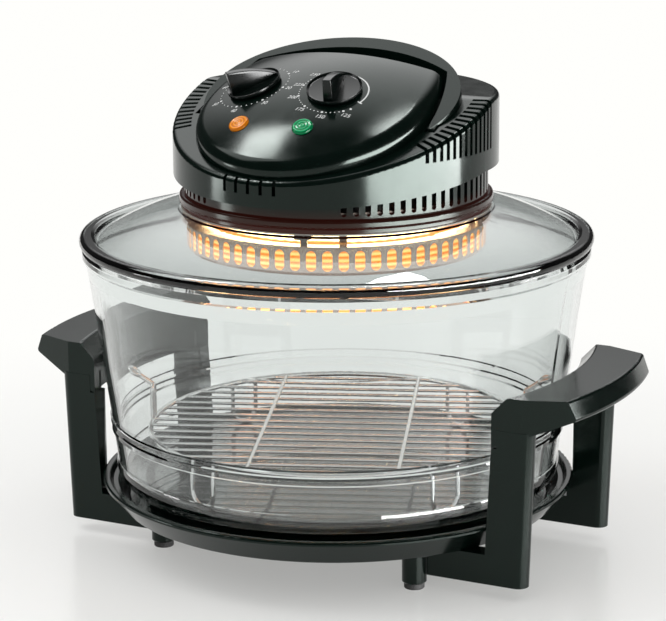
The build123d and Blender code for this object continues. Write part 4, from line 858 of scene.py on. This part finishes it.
class OVEN_OT_stage(bpy.types.Operator):
    """Adds the pale floor, the soft lights, the surroundings and the camera"""

    bl_idname = "oven.stage"
    bl_label = "Set the stage"

    def execute(self, context):
        stage = context.scene.oven_stage
        deselect_all()
        bpy.ops.mesh.primitive_plane_add(size=FLOOR_SIZE, location=(0, 0, 0))
        floor = context.object
        floor.name = "studio_floor"
        pale = skinned(
            "Pale floor", stage.floor_colour, None, 0.20, 0.26, 3.0, 0.0,
        )
        self.fade_to_white(pale)
        dress(floor, pale)
        self.light_room(context, stage)
        self.place_camera(context)
        return {"FINISHED"}

    def fade_to_white(self, pale):
        """Away from the oven, what the camera, gloss and glass see of the floor is plain white."""
        tree = pale.node_tree
        nodes, link = tree.nodes, tree.links.new
        place = nodes.new("ShaderNodeTexCoord")
        length = nodes.new("ShaderNodeVectorMath")
        length.operation = "LENGTH"
        fade = nodes.new("ShaderNodeMapRange")
        fade.interpolation_type = "SMOOTHSTEP"
        fade.inputs["From Min"].default_value = FADE_FROM
        fade.inputs["From Max"].default_value = FADE_TO
        fade.inputs["To Min"].default_value = SHADOW_LIFT
        rays = nodes.new("ShaderNodeLightPath").outputs
        white = nodes.new("ShaderNodeEmission")
        white.inputs["Color"].default_value = WHITE
        mix = nodes.new("ShaderNodeMixShader")
        link(place.outputs["Object"], length.inputs[0])
        link(length.outputs["Value"], fade.inputs["Value"])
        seen = maths(tree, "MAXIMUM", rays["Is Camera Ray"], rays["Is Transmission Ray"])
        seen = maths(tree, "MAXIMUM", seen, rays["Is Glossy Ray"])
        link(maths(tree, "MULTIPLY", fade.outputs["Result"], seen), mix.inputs["Fac"])
        link(nodes["Principled BSDF"].outputs["BSDF"], mix.inputs[1])
        link(white.outputs["Emission"], mix.inputs[2])
        link(mix.outputs["Shader"], nodes["Material Output"].inputs["Surface"])

    def light_room(self, context, stage):
        """Lights from the table, and a world that is white to the eye and darker to gloss."""
        for name, turn, rise, away, height, size, share, mirror_only in LIGHTS:
            turn, rise = math.radians(turn), math.radians(rise)
            aim = Vector((
                math.cos(turn) * math.cos(rise), math.sin(turn) * math.cos(rise), math.sin(rise),
            ))
            level = share * (stage.card_level if mirror_only else stage.key_level)
            deselect_all()
            bpy.ops.object.light_add(type="AREA", location=aim * away + Vector((0, 0, height)))
            lamp = context.object
            lamp.name = name
            lamp.data.shape = "RECTANGLE"
            lamp.data.size, lamp.data.size_y = size
            lamp.data.energy = level * math.pi * size[0] * size[1]
            lamp.rotation_euler = (-aim).to_track_quat("-Z", "Y").to_euler()
            lamp.visible_camera = False
            if mirror_only:
                lamp.visible_diffuse = False
                lamp.visible_transmission = False
        world = bpy.data.worlds.new("White room")
        context.scene.world = world
        world.use_nodes = True
        tree = world.node_tree
        nodes, link = tree.nodes, tree.links.new
        nodes.clear()
        seen = nodes.new("ShaderNodeBackground")
        seen.inputs["Color"].default_value = WHITE
        around = nodes.new("ShaderNodeBackground")
        around.inputs["Color"].default_value = (1, 1, 1, 1)
        around.inputs["Strength"].default_value = stage.ambient
        mirrored = nodes.new("ShaderNodeBackground")
        mirrored.inputs["Color"].default_value = (1, 1, 1, 1)
        place = nodes.new("ShaderNodeTexCoord")
        toward = nodes.new("ShaderNodeVectorMath")
        toward.operation = "DOT_PRODUCT"
        toward.inputs[1].default_value = BACK_GLOW
        fade = nodes.new("ShaderNodeMapRange")
        fade.interpolation_type = "SMOOTHSTEP"
        fade.inputs["From Min"].default_value = GLOW_EDGE
        fade.inputs["To Min"].default_value = GLOW_FRONT
        fade.inputs["To Max"].default_value = GLOW_BACK
        rays = nodes.new("ShaderNodeLightPath").outputs
        front = nodes.new("ShaderNodeMixShader")
        gloss = nodes.new("ShaderNodeMixShader")
        out = nodes.new("ShaderNodeOutputWorld")
        link(place.outputs["Generated"], toward.inputs[0])
        link(toward.outputs["Value"], fade.inputs["Value"])
        link(fade.outputs["Result"], mirrored.inputs["Strength"])
        link(rays["Is Glossy Ray"], gloss.inputs["Fac"])
        link(around.outputs["Background"], gloss.inputs[1])
        link(mirrored.outputs["Background"], gloss.inputs[2])
        eye = maths(tree, "MAXIMUM", rays["Is Camera Ray"], rays["Is Transmission Ray"])
        link(eye, front.inputs["Fac"])
        link(gloss.outputs["Shader"], front.inputs[1])
        link(seen.outputs["Background"], front.inputs[2])
        link(front.outputs["Shader"], out.inputs["Surface"])

    def place_camera(self, context):
        turn = Matrix.Rotation(CAMERA_TURN, 4, "Z")
        spot = turn @ Vector((CAMERA_SIDE, -CAMERA_AWAY, CAMERA_HEIGHT))
        tip = Matrix.Rotation(math.pi / 2 - CAMERA_PITCH, 4, "X")
        roll = Matrix.Rotation(CAMERA_ROLL, 4, "Z")
        deselect_all()
        bpy.ops.object.camera_add(location=spot)
        camera = context.object
        camera.rotation_euler = (turn @ tip @ roll).to_euler()
        camera.data.lens = CAMERA_LENS
        camera.data.sensor_width = 36.0
        camera.data.clip_end = 50.0
        context.scene.camera = camera
        context.scene.view_settings.view_transform = "Standard"


class OVEN_PT_panel(bpy.types.Panel):
    """Lists the oven's finishes and pieces"""

    bl_label = "Halogen oven"
    bl_idname = "OVEN_PT_panel"
    bl_space_type = "VIEW_3D"
    bl_region_type = "UI"
    bl_category = "Oven"

    def draw(self, context):
        scene = context.scene
        for group in (scene.oven_finish, scene.oven_scales, scene.oven_stage):
            box = self.layout.box()
            for name in group.bl_rna.properties.keys():
                if name not in ("rna_type", "name"):
                    box.prop(group, name)
        for operator in OPERATORS:
            self.layout.operator(operator.bl_idname)


SETTINGS = (
    ("oven_finish", OvenFinishSettings),
    ("oven_scales", OvenScaleSettings),
    ("oven_stage", OvenStageSettings),
)
OPERATORS = (
    OVEN_OT_mouldings, OVEN_OT_glassware, OVEN_OT_metalwork, OVEN_OT_lamp, OVEN_OT_lenses,
    OVEN_OT_scales, OVEN_OT_dials, OVEN_OT_stage,
)


def register():
    for name, group in SETTINGS:
        bpy.utils.register_class(group)
        setattr(bpy.types.Scene, name, bpy.props.PointerProperty(type=group))
    for item in (*OPERATORS, OVEN_PT_panel):
        bpy.utils.register_class(item)


def unregister():
    for item in reversed((*OPERATORS, OVEN_PT_panel)):
        bpy.utils.unregister_class(item)
    for name, group in reversed(SETTINGS):
        delattr(bpy.types.Scene, name)
        bpy.utils.unregister_class(group)


def main():
    register()
    for operator in OPERATORS:
        family, action = operator.bl_idname.split(".")
        getattr(getattr(bpy.ops, family), action)()


if __name__ == "__main__":
    main()
